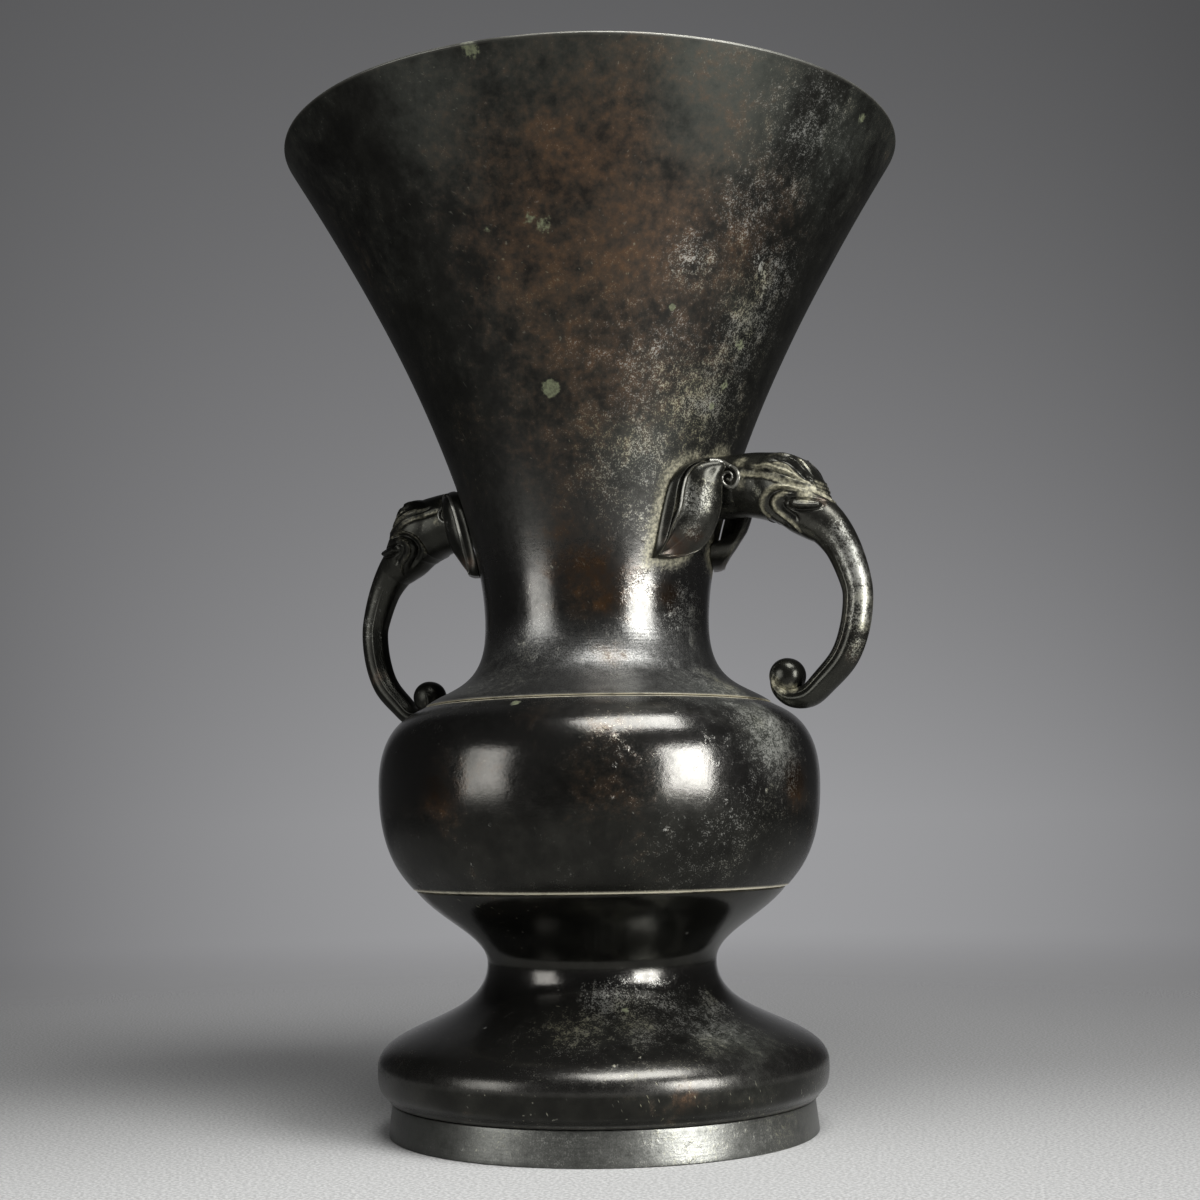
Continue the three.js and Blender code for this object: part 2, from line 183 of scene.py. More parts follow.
def turned(name, outline, corners, node, material):
    """Body of revolution from a closed (radius, height) outline that runs up outside and down inside."""
    outline = rounded(outline, corners)
    rows, columns = len(outline), TURN_SEGMENTS
    vertices = []
    for radius, height in outline:
        for k in range(columns):
            angle = 2 * math.pi * k / columns
            x, y = radius * math.cos(angle), radius * math.sin(angle)
            grow = 1 + CAST_WAVE * noise.noise(Vector((x, y, height)) * CAST_WAVE_SCALE) / radius
            vertices.append((x * grow, y * grow, height))
    faces = []
    for i in range(rows):
        below = i * columns
        above = (i + 1) % rows * columns
        for k in range(columns):
            side = (k + 1) % columns
            faces.append((below + k, below + side, above + side, above + k))
    return new_piece(name, vertices, faces, node, material)


def neck_line(foot, waist, mouth):
    """Curve of the neck's wall through three (radius, height) points."""
    return flow(foot, waist, FLARE_SHARES) + flow(waist, mouth, TRUMPET_SHARES, 2 * CURVE_STEPS)[1:]


def trumpet_neck(material):
    spigot_outer = SPIGOT_INNER + WALL
    seat = SHOULDER_SEAT + CLEARANCE
    outside = neck_line((NECK_FOOT_RADIUS, seat + EDGE_ROUND), (NECK_RADIUS, NECK_HEIGHT),
                        (MOUTH_RADIUS, MOUTH_HEIGHT - LIP_ROUND / 2))
    inside = neck_line((SPIGOT_INNER, seat), (NECK_RADIUS - WALL, NECK_HEIGHT),
                       (MOUTH_RADIUS - MOUTH_WALL, MOUTH_HEIGHT))
    outline = [
        (SPIGOT_INNER, seat - SPIGOT_DEPTH),
        (spigot_outer, seat - SPIGOT_DEPTH),
        (spigot_outer, seat),
        (NECK_FOOT_RADIUS, seat),
        *outside,
        (MOUTH_RADIUS - LIP_ROUND / 2, MOUTH_HEIGHT),
        *reversed(inside),
    ]
    lip = 4 + len(outside)
    corners = {3: EDGE_ROUND, lip - 1: LIP_ROUND / 3, lip: LIP_ROUND / 3, lip + 1: LIP_ROUND / 3}
    return turned("neck_and_mouth", outline, corners, "trumpet_neck", material)


def belly(material):
    mouth = SHOULDER_RADIUS - SEAT_WIDTH
    floor_mouth = BOWL_RIM_RADIUS - SEAT_WIDTH
    inner_top = (mouth, SHOULDER_SEAT - WALL)
    inner_middle = (BELLY_RADIUS - WALL, BELLY_HEIGHT)
    inner_foot = (floor_mouth, BOWL_SEAT + WALL)
    lower = flow((BELLY_BASE_RADIUS, BOWL_SEAT), (BELLY_RADIUS, BELLY_HEIGHT), LOWER_BELLY_SHARES)
    upper = flow((BELLY_RADIUS, BELLY_HEIGHT), (SHOULDER_RADIUS, SHOULDER_SEAT), UPPER_BELLY_SHARES)[1:]
    outline = [
        (floor_mouth, BOWL_SEAT),
        *lower,
        *upper,
        (mouth, SHOULDER_SEAT),
        *reversed(flow(inner_middle, inner_top, UPPER_BELLY_SHARES)),
        *list(reversed(flow(inner_foot, inner_middle, LOWER_BELLY_SHARES)))[1:],
    ]
    shoulder = len(lower) + len(upper)
    corners = {1: EDGE_ROUND, shoulder: EDGE_ROUND}
    return turned("round_belly", outline, corners, "belly", material)


def pedestal(material):
    spigot_outer = BOWL_RIM_RADIUS - SEAT_WIDTH - CLEARANCE
    spigot_inner = spigot_outer - WALL
    seat = BOWL_SEAT - CLEARANCE
    waist_bore = WAIST_RADIUS - WALL
    ledge_top = WAIST_HEIGHT - LEDGE_DROP
    ledge_bore = waist_bore - LEDGE_WIDTH
    base_bore = BULGE_BASE_RADIUS - WALL
    under_ledge = (waist_bore, ledge_top - LEDGE_THICKNESS - WALL)
    inner_bulge = (BULGE_RADIUS - WALL, BULGE_HEIGHT)
    bowl_floor = (waist_bore, WAIST_HEIGHT + FLOOR_THICKNESS)
    outside = flow((BULGE_BASE_RADIUS, BAND_SEAT), (BULGE_RADIUS, BULGE_HEIGHT), UNDERSIDE_SHARES)
    outside += flow((BULGE_RADIUS, BULGE_HEIGHT), (WAIST_RADIUS, WAIST_HEIGHT), FOOT_SHARES)[1:]
    outside += flow((WAIST_RADIUS, WAIST_HEIGHT), (BOWL_RIM_RADIUS, seat), BOWL_SHARES)[1:]
    outline = [
        (base_bore, BAND_SEAT),
        *outside,
        (spigot_outer, seat),
        (spigot_outer, seat + SPIGOT_DEPTH),
        (spigot_inner, seat + SPIGOT_DEPTH),
        *reversed(flow(bowl_floor, (spigot_inner, seat), BOWL_SHARES)),
        (waist_bore, ledge_top),
        (ledge_bore, ledge_top),
        (ledge_bore, ledge_top - LEDGE_THICKNESS),
        *reversed(flow(inner_bulge, under_ledge, FOOT_SHARES)),
        *list(reversed(flow((base_bore, BAND_SEAT), inner_bulge, UNDERSIDE_SHARES)))[1:-1],
    ]
    corners = {1: EDGE_ROUND, len(outside): EDGE_ROUND}
    return turned("waisted_foot", outline, corners, "pedestal", material)


def foot_band(material):
    seat = BAND_SEAT - CLEARANCE
    collar_outer = BULGE_BASE_RADIUS - WALL - CLEARANCE
    collar_inner = collar_outer - COLLAR_WALL
    shares = np.linspace(0, 1, BAND_STEPS + 1)
    rise = [(mix(BAND_RADIUS, BAND_TOP_RADIUS, share), seat * share) for share in shares]
    outline = [
        (collar_inner, 0),
        *rise,
        (collar_outer, seat),
        (collar_outer, COLLAR_HEIGHT),
        (collar_inner, COLLAR_HEIGHT),
    ]
    corners = {1: EDGE_ROUND, len(rise): EDGE_ROUND}
    return turned("upright_foot_band", outline, corners, "foot_band", material)


# Handles: place, head, trunk and curl
HANDLE_HEIGHT = 0.176
HANDLE_REACH = 0.0852
HEAD_DEPTH, HEAD_WIDTH = 0.0191, 0.019
BROW_RADIUS = 0.0063
TRUNK_DEPTH, TRUNK_WIDTH = 0.0079, 0.0078
CURL_RADIUS, CURL_WIDTH = 0.00485, 0.0096
CURL_X, CURL_Z = SHOULDER_RADIUS + 0.0104, SHOULDER_SEAT + 0.0057
ROOT_GAP = 0.0001
ROOT_END_X = 0.0485
# Where the camera's lines that miss the handle are brought back to it
HANDLE_MIDDLE = Vector((0.85 * HANDLE_REACH, 0, HANDLE_HEIGHT))

# Ears: span round the neck, rise and drop from the handle's height, thickness and flare
EAR_SPAN, EAR_RISE, EAR_DROP = 0.0185, 0.0074, 0.0201
EAR_THICKNESS, EAR_FLARE = 0.0029, 0.0157

# Tenon through the wall, burred over the washer inside the neck
TENON_WIDTH, TENON_DEPTH = 0.008, 0.007
WASHER_THICKNESS = 0.0018
BURR_OVERHANG, BURR_THICKNESS = 0.0016, 0.0016

# Section of head and trunk, as shares of half depth and half width, from crown to underside
ROUND_SECTION = ((1, 0), (0.88, 0.5), (0.5, 0.88), (0, 1), (-0.5, 0.88), (-0.88, 0.5), (-1, 0))
TRUNK_SECTION = ((1, 0), (0.92, 0.42), (0.68, 0.76), (0.16, 1), (-0.46, 0.82), (-0.92, 0.42), (-1, 0))

# Centre line: share of the reach, share of the drop, and how far depth and width are the head's
SPINE_SHARES = (
    (-0.34, 0, 0.84, 0.55), (0.26, -0.013, 0.855, 0.57), (0.412, 0.002, 0.93, 0.82),
    (0.549, 0.041, 1.01, 0.98), (0.625, 0.105, 0.82, 0.93), (0.68, 0.166, 0.615, 0.75),
    (0.73, 0.212, 0.44, 0.53), (0.783, 0.259, 0.28, 0.31), (0.851, 0.357, 0.155, 0.125),
    (0.91, 0.509, 0.06, 0.035), (0.928, 0.605, 0.01, 0), (0.906, 0.775, 0, 0), (0.845, 0.92, -0.03, 0),
)
# Brows: place as shares of reach, width and depth, and their own width as a share of their length
BROW_SHARES = (0.56, 0.27, 0.04)
BROW_WIDTH_SHARE = 0.66
BROW_FILLET = 0.0026
CURL_START, CURL_TURN = -0.05 * math.pi, -1.1 * math.pi
CURL_POINTS = 7
CURL_START_SHARE, CURL_END_SHARE = 2.3, 0.38
CURL_FIRST_TAPER, CURL_TAPER = 0.88, 0.36

SECTION_STEPS = 26
SPAN_STEPS = 60
HEAD_STEP, TRUNK_STEP = 0.00017, 0.00045
HEAD_LENGTH = 0.046

# Strokes carved on the head and trunk: points of the photograph, height and half width in millimetres, how
# much pale patina lies along each, and whether its ends fade, 1 or 0
HEAD_STROKES = (
    (((768, 460), (780, 458.5), (788, 461), (797, 468), (804, 475), (810, 481)), -1, 1, 0, 1),
    (((760, 459), (777, 454), (788, 454.8), (799, 459), (807, 467), (815, 478)), 0.35, 0.28, 0.25, 1),
    (((783, 457), (792, 459), (798.5, 464), (805, 471), (810, 477.5), (815, 482)), 0.4, 0.3, 0.1, 1),
    (((771, 463.5), (777, 462), (783, 464), (788.5, 467.5), (794, 473), (801, 478)), 0.35, 0.24, 0.8, 1),
    (((748, 463.5), (757, 466.7), (766.5, 465.2), (777, 468.3), (787, 471.7), (797, 476.7), (805, 481),
      (814, 485)), 0.4, 0.26, 1, 1),
    (((748, 467), (763, 469.4), (777, 471.8), (788, 475), (798, 479.5)), -0.5, 0.32, 0, 1),
    (((742, 473), (755, 474.2), (767.5, 476), (778, 479.2), (788, 483.3), (801, 486.7), (813, 490),
      (822, 493.5), (831, 499)), -0.4, 0.8, 1, 0),
    (((809, 492), (801, 490.4), (793, 487.5), (784, 485.8), (775, 486.7), (767.5, 490.8), (762.5, 497.5),
      (761.5, 504.2), (763.3, 510.8), (768.3, 515.8), (775, 521)), 0.4, 0.24, 1, 1),
    (((797, 491), (788, 489.3), (780, 490), (772, 493.5), (767.3, 500), (767.5, 508), (773, 515), (781, 521),
      (791, 528)), -1, 0.75, 0, 1),
    (((791, 493.5), (784, 492.8), (777, 496), (773.5, 502), (775.5, 509), (782, 515), (790, 520.8),
      (797, 527.5), (803, 535)), 0.5, 0.3, 1, 1),
    (((788, 498), (781.5, 502), (784, 508.5), (792, 514.5), (800, 521)), -0.8, 0.9, 0.1, 1),
    (((789, 502.8), (799, 504.4), (811, 505), (822, 505.6)), 1.1, 0.8, 0, 1),
    (((792, 500.3), (805, 501), (814, 502), (825, 505.8)), 0.3, 0.26, 0, 1),
    (((784, 499), (795, 498), (806, 498.4), (818, 499.5), (831, 502.5)), -0.5, 0.24, 0.15, 1),
    (((786, 507), (799, 509.8), (811, 509.2), (823, 507.3)), -0.6, 0.4, 0, 1),
    (((813, 480.5), (819, 483), (826, 485.5)), -0.3, 0.2, 0.5, 1),
    (((815, 485), (821, 487), (828, 490)), -0.3, 0.2, 0.5, 1),
    (((817, 489.5), (823, 491.5), (830, 495)), -0.3, 0.2, 0.5, 1),
    (((819, 493.5), (826, 496), (832.5, 499.5)), -0.3, 0.2, 0.5, 1),
)
STROKE_STEPS, STROKE_PASSES, STROKE_FADE = 6, 2, 0.14
PALE_REACH = 0.00085
NORMAL_PASSES = 8
# Fine ridge along each side of the trunk: place as a share of half depth, height and half width
TRUNK_RIDGE = (-0.42, 0.00013, 0.00022)
RIDGE_FADE, RIDGE_WAX = 2.5, 0.36


def thread(points, steps):
    """Smooth curve through the points, with this many samples to a span."""
    points = np.asarray(points, float)
    padded = np.vstack([2 * points[0] - points[1], points, 2 * points[-1] - points[-2]])
    t = np.linspace(0, 1, steps, endpoint=False)[:, None]
    spans = []
    for a, b, c, d in zip(padded, padded[1:], padded[2:], padded[3:]):
        before, here, after = (max(np.linalg.norm(q - p), 1e-9) ** 0.5 for p, q in ((a, b), (b, c), (c, d)))
        leave = ((b - a) / before - (c - a) / (before + here) + (c - b) / here) * here
        arrive = ((c - b) / here - (d - b) / (here + after) + (d - c) / after) * here
        spans.append((2 * t**3 - 3 * t**2 + 1) * b + (t**3 - 2 * t**2 + t) * leave
                     + (3 * t**2 - 2 * t**3) * c + (t**3 - t**2) * arrive)
    return np.vstack([*spans, points[-1:]])


def smoothed(line, passes):
    """The line with its inner points evened out between their neighbours."""
    for _ in range(passes):
        line[1:-1] = (line[:-2] + 2 * line[1:-1] + line[2:]) / 4
    return line


def closed_section(shares):
    """Smooth closed section through the shares of one side and their mirror image."""
    side = np.array(shares, float)
    loop = np.vstack([side, side[-2:0:-1] * (1, -1)])
    wrapped = np.vstack([loop[-2:], loop, loop[:2]])
    return thread(wrapped, SECTION_STEPS)[2 * SECTION_STEPS:(2 + len(loop)) * SECTION_STEPS]


def rounder(a, b, softness):
    """The larger of two lengths, with a fillet where they cross."""
    share = np.clip(1 - np.abs(a - b) / softness, 0, 1)
    return np.maximum(a, b) + share**2 * softness / 4


def spine():
    """Centre, tangent, depth, width and roundness at even steps from the head's root to the curl."""
    rows = []
    for along, down, deep, wide in SPINE_SHARES:
        rows.append((mix(NECK_RADIUS, HANDLE_REACH, along), mix(HANDLE_HEIGHT, CURL_Z, down),
                     mix(TRUNK_DEPTH, HEAD_DEPTH, deep), mix(TRUNK_WIDTH, HEAD_WIDTH, wide),
                     min(1, max(0, deep + wide)) * HEAD_DEPTH))
    for i in range(CURL_POINTS):
        turn = i / (CURL_POINTS - 1)
        angle = CURL_START + CURL_TURN * turn
        radius = CURL_RADIUS * mix(CURL_END_SHARE, CURL_START_SHARE, (1 - turn) ** 2)
        rows.append((CURL_X + radius * math.cos(angle), CURL_Z + radius * math.sin(angle),
                     TRUNK_DEPTH * mix(CURL_FIRST_TAPER, CURL_TAPER, turn),
                     mix(TRUNK_WIDTH, CURL_WIDTH, turn), 0))
    rows = np.array(rows)
    centres, sizes = thread(rows[:, :2], SPAN_STEPS), thread(rows[:, 2:], SPAN_STEPS)
    first = int(np.argmax(centres[:, 0] > ROOT_END_X))
    centres, sizes = centres[first:], sizes[first:]
    along = np.concatenate([[0], np.cumsum(np.linalg.norm(np.diff(centres, axis=0), axis=1))])
    at = np.concatenate([np.arange(0, HEAD_LENGTH, HEAD_STEP), np.arange(HEAD_LENGTH, along[-1], TRUNK_STEP)])
    x, z, depth, width, roundness = (np.interp(at, along, column) for column in (*centres.T, *sizes.T))
    centre = np.stack([x, z], 1)
    tangent = unit(np.gradient(centre, at, axis=0))
    return centre, tangent, depth, width, np.clip(roundness / HEAD_DEPTH, 0, 1)


OUTER_LINE = neck_line((NECK_FOOT_RADIUS, SHOULDER_SEAT), (NECK_RADIUS, NECK_HEIGHT),
                       (MOUTH_RADIUS, MOUTH_HEIGHT))
BORE_LINE = neck_line((SPIGOT_INNER, SHOULDER_SEAT), (NECK_RADIUS - WALL, NECK_HEIGHT),
                      (MOUTH_RADIUS - MOUTH_WALL, MOUTH_HEIGHT))


def neck_radius_at(height, line=OUTER_LINE):
    radii, heights = zip(*line)
    return np.interp(height, heights, radii)


def head_skin():
    """Grid of points over head and trunk, from the neck's wall to the curl, and the wax along its ridges."""
    centre, tangent, depth, width, roundness = spine()
    shape = mix(closed_section(TRUNK_SECTION), closed_section(ROUND_SECTION), roundness[:, None, None])
    outward = shape[:, :, 0] * depth[:, None] / 2
    points = np.stack([centre[:, :1] - tangent[:, 1:] * outward, shape[:, :, 1] * width[:, None] / 2,
                       centre[:, 1:] + tangent[:, :1] * outward], 2)
    middle = np.stack([centre[:, 0], np.zeros(len(centre)), centre[:, 1]], 1)[:, None]
    place, height, spread = TRUNK_RIDGE
    off = (shape[:, :, 0] - place) * depth[:, None] / 2
    ridge = bell(off, spread) * np.clip(1 - RIDGE_FADE * roundness, 0, 1)[:, None]
    points[:, :, 1] += np.sign(points[:, :, 1]) * height * ridge
    points = swell(points, middle)
    ring = points[0]
    wall = neck_radius_at(ring[:, 2]) + ROOT_GAP
    root = ring.copy()
    root[:, 0] = np.sqrt(wall**2 - ring[:, 1] ** 2)
    steps = int((ROOT_END_X - root[:, 0].min()) / HEAD_STEP)
    shares = np.linspace(0, 1, steps, endpoint=False)[:, None, None]
    skin = np.vstack([root[None] * (1 - shares) + ring[None] * shares, points])
    return skin, RIDGE_WAX * np.vstack([np.zeros((steps, len(ring))), ridge])


def swell(points, middle):
    """Pushes the skin out over the two brows."""
    reach = points - middle
    length = np.linalg.norm(reach, axis=2)
    way = reach / length[:, :, None]
    along, across, up = BROW_SHARES
    scale = np.array((1, 1 / BROW_WIDTH_SHARE, 1)) / BROW_RADIUS
    for side in (1, -1):
        brow = np.array((mix(NECK_RADIUS, HANDLE_REACH, along), side * across * HEAD_WIDTH,
                         HANDLE_HEIGHT + up * HEAD_DEPTH))
        step, start = way * scale, (middle - brow) * scale + np.zeros_like(way)
        a, b, c = (step**2).sum(2), (step * start).sum(2), (start**2).sum(2) - 1
        root = b**2 - a * c
        half = np.sqrt(np.maximum(root, 0))
        meets = (root > 0) & ((-b - half) / a < length)
        length = rounder(length, np.where(meets, (-b + half) / a, 0), BROW_FILLET)
    return middle + way * length[:, :, None]


def grid_normals(points):
    """Outward normals of a grid whose rows close round."""
    around = np.roll(points, -1, axis=1) - np.roll(points, 1, axis=1)
    normal = np.cross(np.gradient(points, axis=0), around)
    normal /= np.maximum(np.linalg.norm(normal, axis=2), 1e-12)[:, :, None]
    outward = ((points - points.mean(axis=1, keepdims=True)) * normal).sum(2)
    return normal * np.sign(np.median(outward))


def grid_faces(rows, columns):
    """Quads over a grid that closes round, with a flat cap at each end."""
    faces = []
    for i in range(rows - 1):
        for k in range(columns):
            a, b = i * columns + k, i * columns + (k + 1) % columns
            faces.append((a, b, b + columns, a + columns))
    last = (rows - 1) * columns
    return faces + [tuple(range(columns - 1, -1, -1)), tuple(range(last, last + columns))]


def photo_ray(pixel):
    """Direction of the camera's line through a point of the photograph."""
    focal = CAMERA_LENS / SENSOR_WIDTH * PHOTO_SIZE
    way = CAMERA_POSE.to_3x3() @ Vector((pixel[0] - PHOTO_SIZE / 2, PHOTO_SIZE / 2 - pixel[1], -focal))
    return way.normalized()


def seen_on(tree, pixels):
    """Where the camera's lines through these points of the photograph meet a surface."""
    found = []
    for pixel in pixels:
        way = photo_ray(pixel)
        hit = tree.ray_cast(CAMERA_PLACE, way)[0]
        if hit is None:
            reach = (HANDLE_MIDDLE - CAMERA_PLACE).dot(way)
            hit = tree.find_nearest(CAMERA_PLACE + way * reach)[0]
        found.append(tuple(hit))
    return np.array(found)


def distance_along(points, line):
    """Distance of each point from a polyline, and the share of its length where it is nearest."""
    best, share = np.full(len(points), np.inf), np.zeros(len(points))
    count = len(line) - 1
    for i in range(count):
        step = line[i + 1] - line[i]
        t = np.clip((points - line[i]) @ step / (step @ step), 0, 1)
        gap = np.linalg.norm(points - line[i] - t[:, None] * step, axis=1)
        closer = gap < best
        best[closer], share[closer] = gap[closer], (i + t[closer]) / count
    return best, share


def carve(points, tree):
    """Cuts and raises the strokes on both sides of the head; also gives where pale patina lies."""
    flat = points.reshape(-1, 3)
    normals = grid_normals(points)
    for _ in range(NORMAL_PASSES):
        normals[1:-1] = normals[:-2] + 2 * normals[1:-1] + normals[2:]
        normals += np.roll(normals, 1, axis=1) + np.roll(normals, -1, axis=1)
        normals = unit(normals)
    normals = normals.reshape(-1, 3)
    near_side = flat * (1, -1, 1)
    near_side[:, 1] = -np.abs(flat[:, 1])
    rise, pale = np.zeros(len(flat)), np.zeros(len(flat))
    for pixels, height, spread, patina, fades in HEAD_STROKES:
        line = smoothed(thread(seen_on(tree, pixels), STROKE_STEPS), STROKE_PASSES)
        line[:, 1] = -np.abs(line[:, 1])
        spread *= MILLIMETRE
        reach = max(spread, PALE_REACH)
        margin = 4 * reach
        close = np.all((near_side > line.min(0) - margin) & (near_side < line.max(0) + margin), axis=1)
        gap, share = distance_along(near_side[close], line)
        fade = mix(1, np.clip(np.minimum(share, 1 - share) / STROKE_FADE, 0, 1), fades)
        rise[close] += bell(gap, spread, height * MILLIMETRE) * fade
        pale[close] = np.maximum(pale[close], bell(gap, reach, patina) * fade)
    return (flat + normals * rise[:, None]).reshape(points.shape), pale


CURL_COLUMNS, CURL_ROWS = 72, 44
CURL_TILT, CURL_SQUARENESS = 0.49 * math.pi, 2.3
BURR_COLUMNS, BURR_SQUARENESS = 48, 5
# Rings of the burred end: shares of its thickness, and how far each stands in from the widest
BURR_RINGS = ((0, 0.0003), (0.1875, 0), (0.6, 0.0002), (0.85, 0.0007), (1, 0.0017), (1.05, 0.00364))
SHANK_SINK, SHANK_STOP = 0.0001, 0.0002


def curl_ball():
    """Rolled end of the trunk: a squashed ball."""
    turn = round_angles(CURL_COLUMNS)[None]
    tilt = np.linspace(-CURL_TILT, CURL_TILT, CURL_ROWS)[:, None]
    power = 2 / CURL_SQUARENESS
    radial = CURL_RADIUS * np.cos(tilt) ** power
    y = np.sign(tilt) * CURL_WIDTH / 2 * np.abs(np.sin(tilt)) ** power
    return np.stack([CURL_X + radial * np.cos(turn), y + 0 * turn, CURL_Z + radial * np.sin(turn)], 2)


def burred_tenon():
    """End of the tenon inside the neck, spread over its washer."""
    angle = round_angles(BURR_COLUMNS)
    power = BURR_SQUARENESS
    square = 1 / (np.abs(np.cos(angle)) ** power + np.abs(np.sin(angle)) ** power) ** (1 / power)
    burr = TENON_WIDTH / 2 + BURR_OVERHANG
    back = 2 * CLEARANCE + WASHER_THICKNESS
    rings = [(depth, TENON_WIDTH / 2, TENON_DEPTH / 2) for depth in (SHANK_SINK, back - SHANK_STOP)]
    rings += [(back + BURR_THICKNESS * share, burr - inset, burr - inset) for share, inset in BURR_RINGS]
    points = []
    for depth, half_width, half_height in rings:
        height = HANDLE_HEIGHT + square * np.sin(angle) * half_height
        across = square * np.cos(angle) * half_width
        out = np.sqrt((neck_radius_at(height, BORE_LINE) - depth) ** 2 - across**2)
        points.append(np.stack([out, across, height], 1))
    return np.array(points)


# Ear laid flat, from its tip up the outer side and down the inner one, as shares of span and of rise or drop:
# the edge, the crest of the flange, the rim and the middle of the dome beside each other
EAR_STATIONS = (
    ((1, -1), (0.99, -0.985), (0.98, -0.975), (0.86, -0.9)),
    ((0.985, -0.81), (0.912, -0.785), (0.895, -0.775), (0.8, -0.85)),
    ((0.985, -0.51), (0.886, -0.54), (0.86, -0.56), (0.7, -0.7)),
    ((0.99, -0.225), (0.89, -0.28), (0.805, -0.33), (0.647, -0.4)),
    ((0.99, 0), (0.913, -0.03), (0.83, -0.06), (0.65, -0.1)),
    ((0.93, 0.39), (0.882, 0.35), (0.828, 0.3), (0.66, 0.15)),
    ((0.81, 0.725), (0.8, 0.655), (0.778, 0.575), (0.64, 0.35)),
    ((0.66, 0.92), (0.665, 0.845), (0.67, 0.76), (0.62, 0.42)),
    ((0.53, 0.98), (0.535, 0.9), (0.54, 0.815), (0.6, 0.45)),
    ((0.43, 0.93), (0.44, 0.85), (0.455, 0.76), (0.59, 0.43)),
    ((0.385, 0.68), (0.4, 0.65), (0.42, 0.6), (0.585, 0.38)),
    ((0.402, 0.236), (0.413, 0.23), (0.427, 0.22), (0.6, 0.2)),
    ((0.364, -0.08), (0.376, -0.08), (0.391, -0.08), (0.64, 0)),
    ((0.337, -0.249), (0.349, -0.249), (0.364, -0.248), (0.65, -0.15)),
    ((0.329, -0.4), (0.341, -0.4), (0.356, -0.4), (0.647, -0.35)),
    ((0.319, -0.58), (0.33, -0.577), (0.345, -0.573), (0.645, -0.5)),
    ((0.312, -0.722), (0.323, -0.717), (0.337, -0.71), (0.665, -0.63)),
    ((0.367, -0.871), (0.375, -0.861), (0.386, -0.847), (0.69, -0.72)),
    ((0.519, -0.956), (0.524, -0.944), (0.53, -0.929), (0.73, -0.785)),
    ((0.716, -0.998), (0.719, -0.986), (0.723, -0.971), (0.79, -0.85)),
)
# Heights over the back of the ear of its edge, crest, groove and rim, on the flanged and the plain side
FLANGED_LEVELS = (0.0006, 0.0025, 0.0012, 0.0033)
PLAIN_LEVELS = (0.0015, 0.0022, 0.0026, 0.0029)
EAR_FLANGED_SHARES = ((0, 0.6), (0.05, 1), (0.42, 1), (0.5, 0), (0.94, 0), (1, 0.6))
# Height of the dome's middle from the tip of the ear upwards
EAR_DOME = ((-0.9, 0.0027), (-0.85, 0.0032), (-0.7, 0.0047), (-0.5, 0.0059), (-0.3, 0.0062), (0, 0.0060),
            (0.45, 0.0048))
# Rows behind the ear, as shares of the way from edge to middle
BACK_SHARES = (0.5, 0)
# Rows between the lines of the ear, as shares of the way from one to the next. For the edge, the groove and the
# foot of the rim a share of the way between their levels follows, then the patina or the wear if there is any
EDGE_ROWS = ((0, 0.5), (0.04, 1))
CREST_SHARES, CREST_POWER, CREST_LIFT = (0.25, 0.5, 0.75, 0.9), 0.8, 0.00008
CREST_PATINA, CREST_WEAR = (0.1, 0.35), 0.5
GROOVE_ROWS = ((0.12, 0.2, 0.3), (0.3, 0.75, 0.3), (0.5, 1, 0.4), (0.68, 0.95, 0.3))
RIM_ROWS = ((0.82, 0.5, 0), (0.93, 0.95, 1))
DOME_SHARES = (0.02, 0.05, 0.09, 0.15, *np.linspace(0.22, 1, 14))
DOME_END, DOME_POWER = 0.985, 2.1
# Hollow and patina behind the rim: place and half width as shares of the way, and depth or strength
HOLLOW_PLACE, DOME_HOLLOW = 0.06, (0.05, 0.00035)
PATINA_PLACE, DOME_PATINA = 0.05, (0.03, 0.5)
BACK_LIFT = 0.00005
# The ear stands off the neck less and less over this span of heights, down to this share at its tip
EAR_CLOSE, EAR_CLOSE_SHARE = (-0.007, -0.0201), 0.4
# Between these heights under the handle's centre the back of the ear comes down to the neck
EAR_FILL = (-0.0108, -0.0145)
EAR_SPAN_STEPS = 12
SCROLL_START = ((0.6, 0.8), (0.54, 0.81), (0.455, 0.76))
SCROLL_PIXELS = ((729, 466), (736, 469.5), (738.8, 476), (737.5, 482.5), (732.5, 487.5), (726, 486),
                 (722.4, 481), (722, 476), (726, 472.5), (730.5, 473), (732.5, 477), (730, 480.5), (727, 479))
SCROLL_COLUMNS, SCROLL_STEPS, SCROLL_PASSES = 14, 8, 12
SCROLL_RADIUS, SCROLL_END_RADIUS = 0.00066, 0.0004
SCROLL_PATINA, SCROLL_WEAR = 0.2, 0.6


def smooth_step(value, low, high):
    share = np.clip((value - low) / (high - low), 0, 1)
    return share**2 * (3 - 2 * share)


def ear_place(along, up, lift, back=False):
    wall = neck_radius_at(HANDLE_HEIGHT + up)
    flare = EAR_FLARE * (1 - along / EAR_SPAN) ** 2 * mix(1, EAR_CLOSE_SHARE, smooth_step(up, *EAR_CLOSE))
    if back:
        flare = flare * smooth_step(up, EAR_FILL[1], EAR_FILL[0])
    radius = wall + CLEARANCE + flare + lift
    angle = along / wall
    return np.stack([radius * np.cos(angle), -radius * np.sin(angle), HANDLE_HEIGHT + up], -1)


def ear_scale(share):
    return share[0] * EAR_SPAN, share[1] * (EAR_RISE if share[1] > 0 else EAR_DROP)


